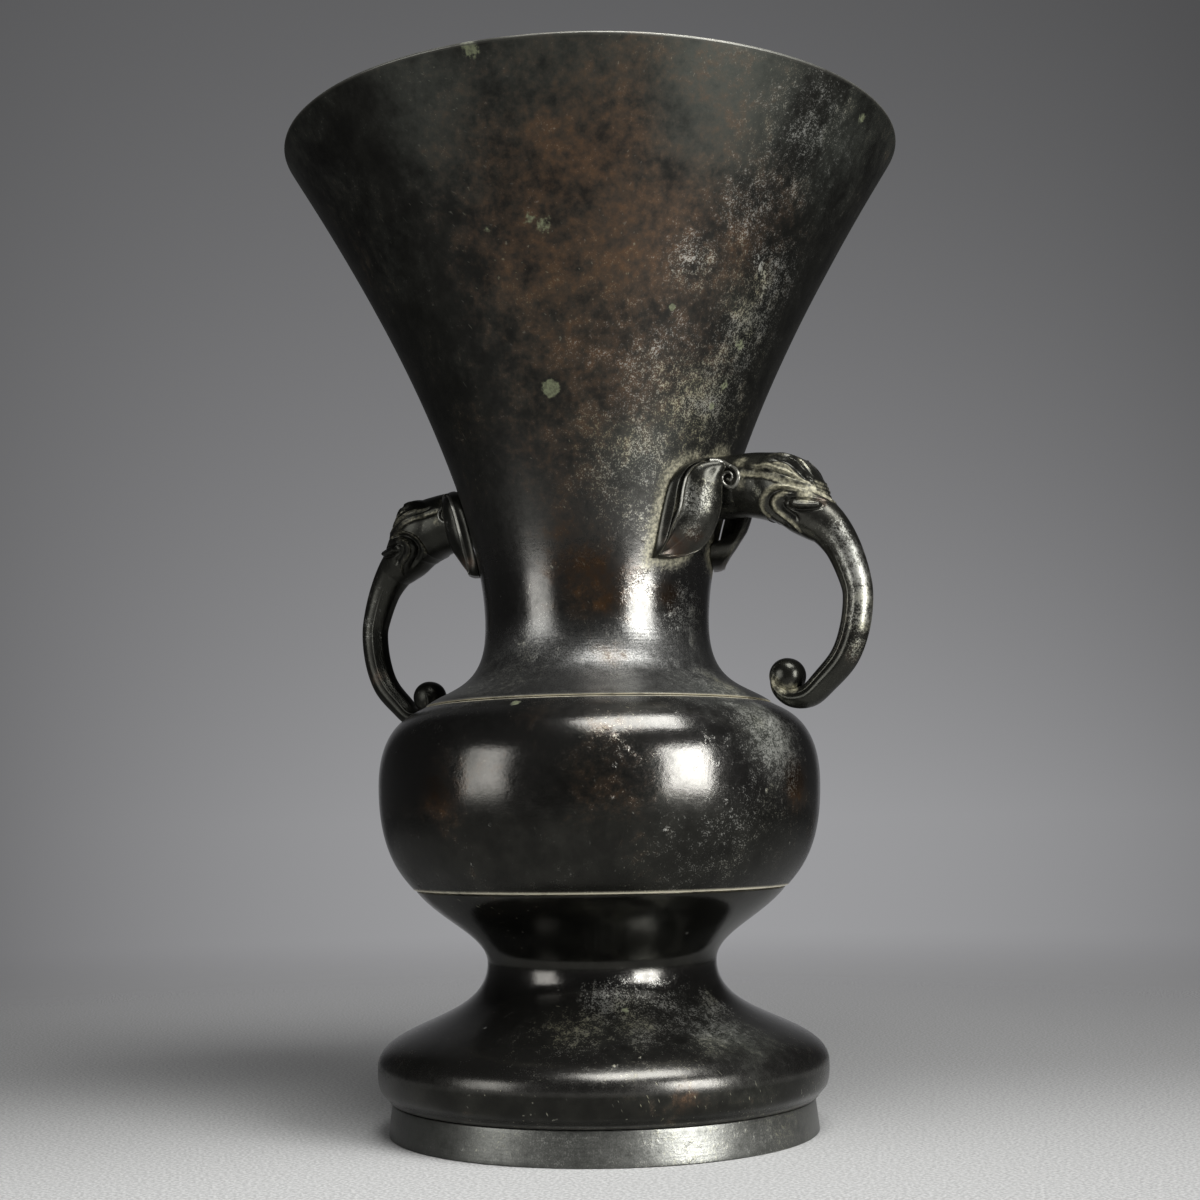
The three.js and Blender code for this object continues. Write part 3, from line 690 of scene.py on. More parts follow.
def ear_sheet():
    """Leaf-shaped ear: a flange with a crest, a groove, a thin rim and a domed middle."""
    lines = [thread(line, EAR_SPAN_STEPS)[:-1] for line in zip(*EAR_STATIONS, EAR_STATIONS[0])]
    edge, crest, rim, middle = (np.array([ear_scale(share) for share in line]) for line in lines)
    count = len(edge)
    flanged = np.interp(np.arange(count) / count, *zip(*EAR_FLANGED_SHARES))
    edge_level, crest_level, groove_level, rim_level = (
        mix(plain, flange, flanged) for flange, plain in zip(FLANGED_LEVELS, PLAIN_LEVELS))
    top_level = np.interp(lines[3][:, 1], *zip(*EAR_DOME))
    # Each row: the line it leaves, the line it nears, its share of the way, its level, its patina and its wear
    rows = [(edge, crest, s, edge_level * h, 0, 0) for s, h in EDGE_ROWS]
    for s in CREST_SHARES:
        rows.append((edge, crest, s, mix(edge_level, crest_level, s**CREST_POWER), CREST_PATINA[0], 0))
    rows += [(edge, crest, 1, crest_level + CREST_LIFT, CREST_PATINA[1], CREST_WEAR * flanged)]
    rows += [(crest, rim, s, mix(crest_level, groove_level, h), patina, 0) for s, h, patina in GROOVE_ROWS]
    rows += [(crest, rim, s, mix(groove_level, rim_level, h), 0, wear_and_glint) for s, h, wear_and_glint in RIM_ROWS]
    rows += [(crest, rim, 1, rim_level, 0, flanged)]
    for s in DOME_SHARES:
        level = mix(rim_level, top_level, 1 - (1 - s) ** DOME_POWER)
        level -= flanged * bell(s - HOLLOW_PLACE, *DOME_HOLLOW)
        rows.append((rim, middle, s * DOME_END, level, bell(s - PATINA_PLACE, *DOME_PATINA), 0))
    points, pale, worn = [], [], []
    for share in BACK_SHARES:
        flat = mix(edge, middle, share)
        points.append(ear_place(flat[:, 0], flat[:, 1], BACK_LIFT, back=True))
    for start, end, share, level, patina, wear_and_glint in rows:
        flat = mix(start, end, share)
        points.append(ear_place(flat[:, 0], flat[:, 1], level))
        pale.append(np.zeros(count) + patina)
        worn.append(np.zeros(count) + wear_and_glint)
    bare = np.zeros(2 * count)
    return np.array(points), np.concatenate([bare, *pale]), np.concatenate([bare, *worn])


def scroll_tube(tree):
    """Thin volute where the ear's rim curls against the head."""
    start = [ear_place(*ear_scale(share), EAR_THICKNESS) for share in SCROLL_START]
    line = smoothed(thread(np.vstack([*start, seen_on(tree, SCROLL_PIXELS)]), SCROLL_STEPS), SCROLL_PASSES)
    way = unit(np.gradient(line, axis=0))
    side = unit(np.cross(way, -photo_ray(SCROLL_PIXELS[0])))
    front = np.cross(side, way)
    radius = np.linspace(SCROLL_RADIUS, SCROLL_END_RADIUS, len(line))[:, None, None]
    angle = round_angles(SCROLL_COLUMNS)[None, :, None]
    return line[:, None] + radius * (np.cos(angle) * side[:, None] + np.sin(angle) * front[:, None])


def faces_out(grid):
    """Faces of a closed grid, turned over if they would look inwards."""
    faces = grid_faces(len(grid), grid.shape[1])
    centred = grid - grid.mean(axis=(0, 1))
    beside = np.roll(centred, -1, axis=1)
    volume = (centred[:-1] * np.cross(beside[:-1], centred[1:])).sum()
    return faces if volume > 0 else [face[::-1] for face in faces]


def handles(material):
    """Both handles with their ears, the left set turned half way round from the right."""
    skin, ridge_pale = head_skin()
    tree = BVHTree.FromPolygons(skin.reshape(-1, 3).tolist(), grid_faces(len(skin), skin.shape[1]))
    skin, skin_pale = carve(skin, tree)
    ear, ear_pale, ear_wear = ear_sheet()
    # Each grid with how much pale patina and wear its points have
    grids = [(skin, np.maximum(skin_pale, ridge_pale.ravel()), 0), (curl_ball(), 0, 0), (burred_tenon(), 0, 0)]
    ears = [(ear, ear_pale, ear_wear), (scroll_tube(tree), SCROLL_PATINA, SCROLL_WEAR)]
    made = []
    # The left set's pale wax is thinned, which is painted shade
    for side, turn, wax_and_shade in (("right", 1, 1), ("left", -1, LEFT_SHADED_WAX)):
        spin = np.array((turn, turn, 1))
        made.append(add_grids("elephant_handle_" + side, "handle_" + side, grids, spin, wax_and_shade, material))
        for end, flip in (("front", 1), ("back", -1)):
            mirror = spin * (1, flip, 1)
            name = side + "_" + end
            made.append(add_grids("ear_leaf_" + name, "ear_" + name, ears, mirror, wax_and_shade, material))
    return made


def add_grids(name, node, grids, turn, wax_and_shade, material):
    vertices, faces, marks = [], [], []
    for grid, pale, wear_and_glint in grids:
        start = sum(len(v) for v in vertices)
        faces += [tuple(start + i for i in face) for face in faces_out(grid * turn)]
        vertices.append((grid * turn).reshape(-1, 3))
        marks.append([np.zeros(len(vertices[-1])) + value for value in (pale * wax_and_shade, wear_and_glint)])
    piece = new_piece(name, np.vstack(vertices), faces, node, material, CARVED_SHARP)
    for key, values in zip(("pale", "wear_and_glint"), zip(*marks)):
        mark(piece, key, np.concatenate(values))
    return piece


def mark(piece, name, values):
    """Stores one number for each vertex, for the materials to read."""
    attribute = piece.data.attributes.new(name, "FLOAT", "POINT")
    attribute.data.foreach_set("value", np.asarray(values, dtype=np.float32))


# Floor: its size, how far from the vase it has faded into the wall, and its tones from front to back and from
# side to side, painted light and shade: paler in front of the vase, darker behind it and towards its right
FLOOR_RADIUS, FLOOR_SIDES = 6.0, 96
FLOOR_FADE_RADIUS = 0.9
FLOOR_FADE, FLOOR_PAINTED_LIGHT_TONES = (-0.14, 0.09), (0.34, 0.52)
FLOOR_SIDE, FLOOR_SIDE_PAINTED_SHADE = (-0.1, 0.25), (1.05, 0.80)
CLOTH_NOISE, CLOTH_RANGE, CLOTH_SHARES = (1100.0, 3.0), (0.36, 0.64), (0.80, 1.20)
FLOOR_TINT, FLOOR_ROUGHNESS = (1.0, 1.0, 0.985), 0.9
# The wall: its grey at the horizon, how fast it darkens upwards and, low and high, sideways from its middle
WALL_GREY, WALL_FADE = 0.338, 2.4
WALL_FALL, WALL_CENTRE = (3.5, 0.3), (0.035, -0.205)
WALL_NEAREST, WALL_EDGE = 0.05, (0.0, 0.15)
WALL_TINT = (0.99, 0.99, 1.02)
ROOM_SHARE = 0.13
VIEW_AWAY = Vector((math.sin(CAMERA_TURN), -math.cos(CAMERA_TURN), 0))
VIEW_RIGHT = Vector((math.cos(CAMERA_TURN), math.sin(CAMERA_TURN), 0))
# Soft boxes: azimuth and elevation in degrees, width, height and radiance; all face one point from one distance
AIM, BOX_DISTANCE = Vector((0, 0, 0.11)), 0.95
SOFT_BOXES = dict(
    right_box=(44, 9, 0.41, 0.50, 15.5),
    left_box=(-58, 9, 0.38, 0.48, 4.3),
    top_box=(27, 62, 0.68, 0.42, 11.5),
)


def add_camera():
    data = bpy.data.cameras.new("camera")
    data.lens = CAMERA_LENS
    data.sensor_width = SENSOR_WIDTH
    data.clip_start, data.clip_end = CAMERA_CLIP
    camera = add_object("camera", data)
    camera.matrix_world = CAMERA_POSE
    bpy.context.scene.camera = camera


def add_soft_box(name, azimuth, elevation, width, height, radiance):
    """Area lamp facing the vase; azimuth runs to the camera's right from the camera's side."""
    side, rise = math.radians(azimuth), math.radians(elevation)
    level = VIEW_AWAY * math.cos(side) + VIEW_RIGHT * math.sin(side)
    away = level * math.cos(rise) + Vector((0, 0, math.sin(rise)))
    data = bpy.data.lights.new(name, "AREA")
    data.shape = "RECTANGLE"
    data.size, data.size_y = width, height
    data.energy = radiance * math.pi * width * height
    lamp = add_object(name, data)
    lamp.location = AIM + away * BOX_DISTANCE
    lamp.rotation_mode = "QUATERNION"
    lamp.rotation_quaternion = away.to_track_quat("Z", "Y")
    lamp.visible_camera = False


class Nodes:
    """Short calls for building a node tree."""

    def __init__(self, tree):
        self.tree = tree
        tree.nodes.clear()

    def add(self, kind, inputs=(), **settings):
        """New node; inputs pairs its sockets' names or places with values or with other nodes' sockets."""
        node = self.tree.nodes.new(kind)
        for key, value in settings.items():
            setattr(node, key, value)
        for key, value in dict(inputs).items():
            socket = node.inputs[key]
            if isinstance(value, bpy.types.NodeSocket):
                self.tree.links.new(value, socket)
            else:
                socket.default_value = (*value, 1) if socket.type == "RGBA" else value
        return node

    def math(self, operation, *values):
        return self.add("ShaderNodeMath", enumerate(values), operation=operation).outputs[0]

    def times(self, value, *others):
        for other in others:
            value = self.math("MULTIPLY", value, other)
        return value

    def total(self, fields, base=0.0, **weights):
        """Sum of the named fields by their weights, on top of a base."""
        for name, weight in weights.items():
            base = self.math("MULTIPLY_ADD", fields[name], weight, base)
        return base

    def ramp(self, value, low, high, to_low=0.0, to_high=1.0, kind="SMOOTHSTEP"):
        names = ("Value", "From Min", "From Max", "To Min", "To Max")
        inputs = zip(names, (value, low, high, to_low, to_high))
        return self.add("ShaderNodeMapRange", inputs, clamp=True, interpolation_type=kind).outputs["Result"]

    def swing(self, value, start, end, kind="SMOOTHSTEP"):
        """From start to end while the value goes from 0 to 1."""
        return self.ramp(value, 0.0, 1.0, start, end, kind)

    def blend(self, share, a, b):
        """Colour between a and b."""
        return self.add("ShaderNodeMix", zip((0, 6, 7), (share, a, b)), data_type="RGBA").outputs[2]

    def between(self, share, a, b):
        return self.add("ShaderNodeMix", zip((0, 2, 3), (share, a, b)), data_type="FLOAT").outputs[0]

    def noise(self, vector, scale, detail, roughness=0.55):
        inputs = dict(Vector=vector, Scale=scale, Detail=detail, Roughness=roughness)
        return self.add("ShaderNodeTexNoise", inputs).outputs["Fac"]

    def stretched(self, place, scales, turn):
        inputs = dict(Vector=place, Rotation=turn, Scale=tuple(1 / s for s in scales))
        return self.add("ShaderNodeMapping", inputs, vector_type="TEXTURE").outputs[0]

    def stored(self, name):
        """A number marked on the vertices, 0 where the mesh has none."""
        return self.add("ShaderNodeAttribute", attribute_name=name).outputs["Fac"]

    def along(self, vector, direction):
        inputs = enumerate((vector, tuple(direction)))
        return self.add("ShaderNodeVectorMath", inputs, operation="DOT_PRODUCT").outputs["Value"]

    def tinted(self, grey, tint):
        return self.add("ShaderNodeCombineColor", enumerate([self.times(grey, t) for t in tint])).outputs[0]

    def place(self):
        return self.add("ShaderNodeTexCoord").outputs["Object"]

    def near(self, place, point, reach):
        """1 at the point, falling to 0 at the reach."""
        gap = self.add("ShaderNodeVectorMath", enumerate((place, tuple(point))), operation="DISTANCE")
        return self.ramp(gap.outputs["Value"], 0.0, reach, 1.0, 0.0)

    def near_any(self, place, tree, spots):
        """The strongest of the small spots seen in the photograph."""
        total = 0.0
        for x, y, reach, strength in spots:
            share = self.near(place, seen_on(tree, [(x, y)])[0], reach * MILLIMETRE)
            total = self.math("MAXIMUM", total, self.times(share, strength))
        return total


# Marks of age, some partly painted sheen, as points of the photograph, reach in millimetres and strength; the
# far side repeats them
RUST = (
    (590, 150, 32, 0.9), (640, 230, 34, 0.9), (560, 240, 30, 0.75), (600, 340, 32, 0.8), (500, 150, 22, 0.55),
    (750, 230, 22, 0.7), (700, 130, 22, 0.6), (550, 450, 22, 0.5), (460, 180, 18, 0.35), (690, 330, 20, 0.6),
    (594, 578, 13, 1), (606, 600, 6, 1.3), (668, 596, 5, 1.6), (565, 530, 10, 0.6), (612, 655, 6, 0.6),
    (440, 795, 10, 1), (797, 782, 7, 1.6), (540, 715, 10, 0.5), (610, 770, 17, 0.5), (520, 765, 12, 0.45),
    (687, 1098, 3, 0.8), (350, 240, 20, 0.2),
)
SPECKLE = (
    (700, 400, 24, 0.85), (655, 360, 16, 0.65), (768, 275, 14, 0.95), (755, 205, 13, 0.75), (695, 260, 9, 0.95),
    (745, 330, 15, 1), (640, 450, 18, 0.75), (650, 520, 12, 0.7), (685, 620, 14, 1), (615, 635, 9, 0.5),
    (642, 590, 9, 0.7), (735, 690, 22, 1), (500, 680, 18, 0.7), (770, 730, 18, 1.2), (765, 795, 15, 0.7),
    (620, 745, 10, 0.45), (640, 1015, 20, 0.95), (600, 1005, 8, 1.3), (700, 1025, 18, 0.9),
    (570, 1035, 14, 0.8), (712, 1002, 6, 1.2), (560, 1148, 22, 0.45), (690, 1147, 20, 0.55),
    (780, 1132, 16, 0.7), (720, 850, 18, 0.5), (810, 140, 22, 0.7), (530, 650, 14, 0.65), (430, 720, 10, 0.4),
    (630, 665, 20, 0.5), (430, 900, 14, 0.3), (610, 330, 16, 0.4),
)
# Grey hazy film: partly real patina, partly painted sheen where the lamps glance off the cone, the upper belly
# and the foot
BLOOM_AND_SHEEN = (
    (560, 70, 36, 0.8), (720, 95, 32, 1), (430, 110, 30, 0.75), (840, 150, 26, 0.8), (800, 690, 12, 0.6),
    (768, 728, 17, 1.2), (715, 695, 20, 0.9), (480, 685, 18, 0.6), (730, 1035, 20, 0.9), (630, 1035, 22, 0.5),
    (700, 390, 22, 0.4), (740, 300, 22, 0.5), (570, 705, 14, 0.5), (800, 1010, 20, 0.3), (330, 160, 30, 0.5),
    (640, 440, 22, 0.6), (400, 260, 24, 0.5), (470, 360, 18, 0.4), (620, 220, 40, 0.6), (580, 350, 34, 0.6),
    (680, 620, 14, 0.5), (640, 690, 20, 0.5),
)
VERDIGRIS = (
    (551, 388, 4.4, 1.15), (515, 703, 2.6, 1), (530, 219, 3.4, 0.62), (470, 48, 5, 0.8), (862, 118, 4, 0.5),
    (672, 307, 1.7, 1.2), (543, 224, 6.2, 0.5), (625, 1010, 2.4, 0.7), (487, 229, 2.6, 0.6),
    (712, 406, 2.2, 0.8), (724, 386, 3.4, 0.6), (740, 344, 4, 0.55),
)
# Where the skin is kept from shining: grime and smudges, and painted shade over the left end of the foot band
GRIME_AND_SHADE = (
    (400, 1122, 40, 1), (820, 1120, 8, 0.6), (590, 787, 17, 0.85), (585, 600, 10, 0.75), (466, 760, 8, 0.65),
    (480, 795, 4, 0.3), (560, 1152, 10, 0.25), (520, 770, 12, 0.35),
)
# Small chips and dents that catch the light
CHIPS = (
    (757, 259, 2.6, 1.3), (761, 267, 2.8, 1.5), (764, 276, 2.8, 1.6), (765, 286, 2.8, 1.5),
    (762, 296, 2.4, 1.1), (767, 235, 1.3, 1.1), (775, 233, 1.4, 1), (785, 230, 1.2, 0.8), (703, 256, 1.9, 0.9),
    (690, 262, 2.2, 0.8), (672, 270, 1.2, 0.7), (712, 405, 1.8, 1), (676, 398, 1.8, 0.8), (615, 737, 1.7, 0.9),
    (627, 748, 1.5, 0.8), (615, 765, 1.6, 0.8), (612, 797, 1.2, 0.9), (727, 802, 1.3, 1), (767, 790, 1.3, 1),
    (665, 830, 1.4, 0.8), (472, 865, 1.4, 0.9), (790, 842, 1.3, 0.8), (490, 825, 1.2, 0.7),
    (710, 822, 1.5, 0.7), (735, 838, 1.2, 0.7), (615, 1066, 1.4, 1.2), (640, 1057, 1.1, 1),
    (485, 1028, 1.1, 0.9), (687, 933, 1.3, 0.9),
)
HANDLE_RUST = ((678, 548, 5.5, 1.5), (694, 536, 4, 1.2), (822, 500, 3, 0.6), (855, 640, 8, 0.5))
# Worn specks on the handles, also placed where the ear, the cheek and the trunk catch the lamps, as painted
# highlights
HANDLE_SPECKLE_AND_HIGHLIGHT = (
    (699, 500, 5, 1.5), (693, 530, 4, 1), (838, 535, 5, 1.2), (851, 552, 4.5, 1.7), (860, 575, 4.2, 2),
    (864, 597, 4.2, 2), (864, 620, 4.2, 1.8), (858, 645, 4.2, 1.2), (757, 491, 2.2, 1.1), (803, 463, 2.2, 1),
)
HANDLE_WAX = (
    (806, 494, 2.8, 0.8), (815, 488, 2, 0.55), (790, 482, 2.8, 0.6), (775, 474, 2.2, 0.5),
    (757, 469, 1.8, 0.55), (740, 462, 2.2, 0.85), (743, 474, 1.7, 0.75), (741, 484, 1.6, 0.7),
    (774, 683, 1.9, 0.75), (783, 689, 1.9, 0.8), (793, 689, 1.9, 0.75), (769, 677, 1.4, 0.6),
    (727, 520, 1.8, 0.45),
)
# How bright, glossy and brushed the skin is, at heights in millimetres from the foot to the mouth. The
# brightness is low under the foot's bulge and from just above the waist to the lower belly, partly a duller
# patina and partly painted shade where those surfaces would show the floor's reflection
POLISH = (
    (0, 0.45), (1.6, 0.9), (8.6, 0.9), (10, 0.5), (10.5, 0), (17.4, 0), (18.6, 0.7), (20.5, 1), (24, 0.9),
    (29, 0.45), (40, 0.4), (42, 0.95), (44.6, 0.95), (45.8, 0.05), (53.5, 0), (86, 0.03), (94.5, 0.92),
    (150, 0.95), (171, 0.3), (195, 0), (280, 0),
)
GLOSS = (
    (0, 0.75), (10.5, 0.75), (15.5, 0.8), (20.5, 0.65), (28, 0.9), (66, 1), (67, 0.7), (86, 0.8), (94.5, 1),
    (150, 1), (171, 0.4), (195, 0), (280, 0),
)
BRUSHED = (
    (0, 0.4), (10.5, 0.4), (11, 0.05), (90, 0), (112, 0.2), (116.5, 0.5), (118, 1), (132, 1), (142, 0.15),
    (280, 0.1),
)
# Heights where the skin has no specks
CLEAN = (
    (0, 0), (10.4, 0), (10.6, 1.5), (17, 1.5), (19.5, 0), (43, 0), (47.5, 0.7), (60, 0.5), (66.5, 0), (280, 0),
)
# Grey hazy film rising towards the lip, partly painted sheen
RIM_BLOOM_AND_SHEEN = ((246, 0.0), (276, 0.5))
# Depth below the lip of its bright metal: worn metal and a painted highlight along the lip's edge
LIP_WEAR_AND_GLINT = 0.0011
# The same for the handles, from the curl up the trunk to the head; low on the lower trunk, partly painted shade
# where it would show the floor's reflection
HANDLE_POLISH = ((118, 0.1), (132, 0.25), (146, 0.7), (163, 0.85), (171, 0.3))
HANDLE_GLOSS = ((118, 0.75), (130, 0.8), (142, 0.35), (165, 0.55))
# How much of the right handle's polish, gloss, specks and wax the left one keeps: painted shade, a darker and
# duller copy of the right handle for the dimly lit side
LEFT_SHADED_SHINE, LEFT_SHADED_WAX = 0.32, 0.45
# Width of the pale line above each joint: a tan deposit, and a painted highlight on the edge above the joint
SEAM_REACH = 0.00053
EAR_WAX_REACH, EAR_WAX_SHARE = 0.0034, 0.78


def points_of(piece):
    points = np.empty(len(piece.data.vertices) * 3)
    piece.data.vertices.foreach_get("co", points)
    return points.reshape(-1, 3)


def tree_of(pieces):
    vertices, faces = [], []
    for piece in pieces:
        start = len(vertices)
        vertices += [tuple(p) for p in points_of(piece)]
        faces += [tuple(start + i for i in polygon.vertices) for polygon in piece.data.polygons]
    return BVHTree.FromPolygons(vertices, faces)


def blotches(points, tree, spots):
    """How strongly each point is marked by spots seen in the photograph, here and half a turn round."""
    value = np.zeros(len(points))
    for x, y, reach, strength in spots:
        centre = seen_on(tree, [(x, y)])[0]
        for turn in (1, -1):
            gap = np.linalg.norm(points - centre * (turn, turn, 1), axis=1)
            value = np.maximum(value, bell(gap, reach * MILLIMETRE, strength))
    return value


def level_at(height, table):
    return np.interp(height / MILLIMETRE, *zip(*table))


def age_body(piece, tree, grip_tree):
    """Marks where the body is hazy, partly as painted sheen, rusty, speckled, bright, glossy, brushed, worn and
    given a painted highlight at the lip, seamed, inside or waxed.
    """
    points = points_of(piece)
    height = points[:, 2]
    # Grey hazy film, partly painted sheen
    mark(piece, "bloom_and_sheen", np.maximum(blotches(points, tree, BLOOM_AND_SHEEN), level_at(height, RIM_BLOOM_AND_SHEEN)))
    mark(piece, "rust", blotches(points, tree, RUST))
    mark(piece, "speckle_and_highlight", blotches(points, tree, SPECKLE) - level_at(height, CLEAN))
    # Brightness lowered by grime, and by painted shade on the foot band's left end
    mark(piece, "polish", level_at(height, POLISH) * (1 - blotches(points, tree, GRIME_AND_SHADE)))
    mark(piece, "gloss", level_at(height, GLOSS))
    mark(piece, "brushed", level_at(height, BRUSHED))
    # Bright metal along the lip: worn metal and a painted highlight where the lip catches the light
    mark(piece, "wear_and_glint", np.clip((height - MOUTH_HEIGHT) / LIP_WEAR_AND_GLINT + 1, 0, 1))
    # Pale line on the edge above each joint: a tan deposit, and a painted highlight for the light that edge
    # catches
    above = [height - seat + CLEARANCE for seat in (SHOULDER_SEAT, BOWL_SEAT)]
    seam = np.min([np.where(gap > 0, gap, np.inf) for gap in above], axis=0)
    mark(piece, "seam", np.clip(2 - seam / SEAM_REACH, 0, 1))
    normals = np.empty(points.size)
    piece.data.vertex_normals.foreach_get("vector", normals)
    outward = (normals.reshape(-1, 3)[:, :2] * points[:, :2]).sum(1)
    mark(piece, "inside", outward < 0)
    wax = np.zeros(len(points))
    for i in np.nonzero((np.abs(height - HANDLE_HEIGHT) < 2 * EAR_DROP) & (outward > 0))[0]:
        gap = grip_tree.find_nearest(points[i], 4 * EAR_WAX_REACH)[3] or 1
        wax[i] = bell(gap, EAR_WAX_REACH, EAR_WAX_SHARE)
    mark(piece, "pale", wax)


def age_grip(piece, tree):
    """The same for a handle or an ear, read from the near side of the right-hand one."""
    # The left handle and its ears are made darker and duller than the right ones, which is painted shade
    shine_and_shade, wax_and_shade = (LEFT_SHADED_SHINE, LEFT_SHADED_WAX) if points_of(piece)[0, 0] < 0 else (1, 1)
    points = np.abs(points_of(piece)) * (1, -1, 1)
    mark(piece, "polish", level_at(points[:, 2], HANDLE_POLISH) * shine_and_shade)
    mark(piece, "gloss", level_at(points[:, 2], HANDLE_GLOSS) * shine_and_shade)
    mark(piece, "rust", blotches(points, tree, HANDLE_RUST))
    # Worn specks, partly painted highlights on the ear, the cheek and the trunk
    mark(piece, "speckle_and_highlight", blotches(points, tree, HANDLE_SPECKLE_AND_HIGHLIGHT) * shine_and_shade)
    mark(piece, "deposit", blotches(points, tree, HANDLE_WAX) * wax_and_shade)


BODY_LOOK = dict(
    dark=(0.0172, 0.0170, 0.0142), polished=(0.084, 0.081, 0.075), brown=(0.080, 0.042, 0.0185),
    deep_brown=(0.040, 0.0255, 0.0155), rust_level=-0.03, roughness=(0.48, 0.152), grain=0.6,
)
HANDLE_LOOK = dict(
    dark=(0.019, 0.0192, 0.0155), polished=(0.088, 0.086, 0.075), brown=(0.095, 0.052, 0.030),
    deep_brown=(0.044, 0.028, 0.019), rust_level=-0.1, roughness=(0.40, 0.20), grain=0.5,
)
BAND_LOOK = dict(
    dark=(0.022, 0.023, 0.020), polished=(0.225, 0.228, 0.205), brown=(0.036, 0.034, 0.028),
    deep_brown=(0.026, 0.025, 0.021), rust_level=-0.08, roughness=(0.34, 0.24), grain=0.55,
)
INNER_LOOK = dict(
    dark=(0.060, 0.052, 0.040), polished=(0.075, 0.065, 0.050), brown=(0.080, 0.045, 0.025),
    deep_brown=(0.045, 0.030, 0.020), rust_level=0.1, roughness=(0.62, 0.5), grain=0.6,
)
SKIN_SHADES, SKIN_SPAN, SKIN_METAL = (0.7, 1.5), (0.3, 0.7), (0.82, 0.97)
BRUSHED_METAL, BRUSHED_ROUGHNESS = (0.222, 0.222, 0.214), 0.20
PIT_SPAN = (0.40, 0.56, 0.6, 0.0)
# Grey of the hazy film, partly painted sheen
HAZE_AND_SHEEN = (0.058, 0.063, 0.052)
BLACK = (0.0, 0.0, 0.0)
WORN_METAL, WORN_OLIVE = (0.46, 0.46, 0.42), (0.40, 0.385, 0.25)
VERDIGRIS_DEEP, VERDIGRIS_GREEN = (0.090, 0.099, 0.0552), (0.150, 0.165, 0.092)
PALE_WAX_DEEP, PALE_WAX = (0.115, 0.108, 0.072), (0.32, 0.30, 0.21)
# Tan of the lines above the joints, partly a deposit and partly a painted highlight
SEAM_TAN = (0.60, 0.56, 0.43)
# Bright metal of the lip and the ears' rims: worn metal, and on the lip a painted highlight
WEAR_AND_GLINT_METAL = (0.34, 0.335, 0.30)
INSIDE_COLOUR, INSIDE_DARK = (0.050, 0.048, 0.038), (0.0225, 0.0216, 0.0171)
BUMP_DISTANCE = 0.00007

# Noises that break up the marks: scale, detail and roughness
NOISES = dict(
    clouds=(30.0, 8.0, 0.66), mottle=(110.0, 7.0, 0.68), spots=(420.0, 4.0, 0.6), grains=(1150.0, 3.0, 0.6),
    dust=(2700.0, 2.0, 0.55),
)
# Stretched noises: scales along the axes, turn and detail
TURNING = ((45.0, 45.0, 1500.0), (0.0, 0.0, 0.0), 3.0)
SCRATCHES = ((420.0, 2600.0, 900.0), (0.4, 0.9, 0.5), 1.0)
STORED = ("bloom_and_sheen", "rust", "speckle_and_highlight", "polish", "gloss", "brushed", "wear_and_glint", "seam", "inside", "pale", "deposit")
# Weights of what each mark of age is mixed from
MIXES = dict(
    smudge=dict(mottle=0.6, spots=0.4),
    haze_and_sheen=dict(bloom_and_sheen=0.5, clouds=0.6, mottle=0.45, spots=0.2),
    rust=dict(rust=0.5, clouds=0.6, mottle=0.7, spots=0.55, dust=0.12),
    ruddy=dict(mottle=0.55, spots=0.45),
    broken=dict(spots=1, grains=1),
    density=dict(base=-1.92, speckle_and_highlight=1, mottle=1.9, spots=1.5),
    dusty=dict(dust=0.6, grains=0.4, density=0.14),
    patch=dict(base=-3.78, speckle_and_highlight=1, clouds=1, mottle=3, spots=2.2),
    fleck=dict(dust=0.45, grains=0.55, patch=0.12),
    green=dict(base=-0.98, verdigris=1, spots=0.8, grains=0.7),
    wax=dict(base=-0.78, hollows=1, mottle=0.8, grains=0.6),
    unevenness=dict(dust=0.16, spots=0.10, base=-0.13),
)
# The range of its mix over which a mark appears, and its strength at both ends where that isn't 0 and 1
SPANS = dict(
    smudge=(0.36, 0.54, 0.6, 1.0), haze_and_sheen=(0.76, 1.22, 0.0, 0.85), rust=(1.03, 1.62), ruddy=(0.38, 0.62),
    broken=(0.84, 1.08), dusty=(0.57, 0.68), fleck=(0.56, 0.65), green=(0.10, 0.40, 0.0, 0.85),
    wax=(0.08, 0.80, 0.0, 0.9),
)
DUSTY_DENSITY, FLECK_PATCH = (-0.2, 0.8, 0.0, 0.52, "LINEAR"), (-0.15, 0.95, 0.0, 0.8, "LINEAR")
WORN_SPAN, WORN_ROUGHNESS = (-0.2, 0.9), 0.06
CHIP_PATCH = (1.6, -0.5)
DASH_SPAN, DASH_CLOUDS, DASH_GLOSS = (0.70, 0.77), (0.46, 0.6), (0.22, 0.5)
OLIVE_SPAN, GREEN_SPAN, WAX_SPAN = (0.46, 0.66), (0.4, 0.6), (0.35, 0.65)
SEAM_MOTTLE, WEAR_AND_GLINT_CLOUDS = (0.25, 0.5, 0.5, 1.0), (0.35, 0.55, 0.35, 1.0)
# How metallic and how rough each layer is, None where it is as the skin under it
SHEEN = dict(
    haze_and_sheen=(0.5, 0.46), fleck=(None, 0.42), green=(0.1, 0.7), wax=(0.2, 0.5), seam=(0.1, None), wear_and_glint=(None, 0.3),
    inside=(None, 0.6),
)
HAZE_DULLING = 0.5
RUST_METAL, RUST_ROUGHNESS, RUST_SHADE = (0.45, 0.88), 0.44, 0.5
# Heights of the bump: mottle, wax and chips, then the range for grains, spots and turning marks
RELIEF = dict(mottle=1.6, wax=0.4, chip=1.5)
GRAIN_RELIEF, SPOT_RELIEF, TURNING_RELIEF = (0.45, 1.3), (0.45, 1.6), (0.1, 1.6)


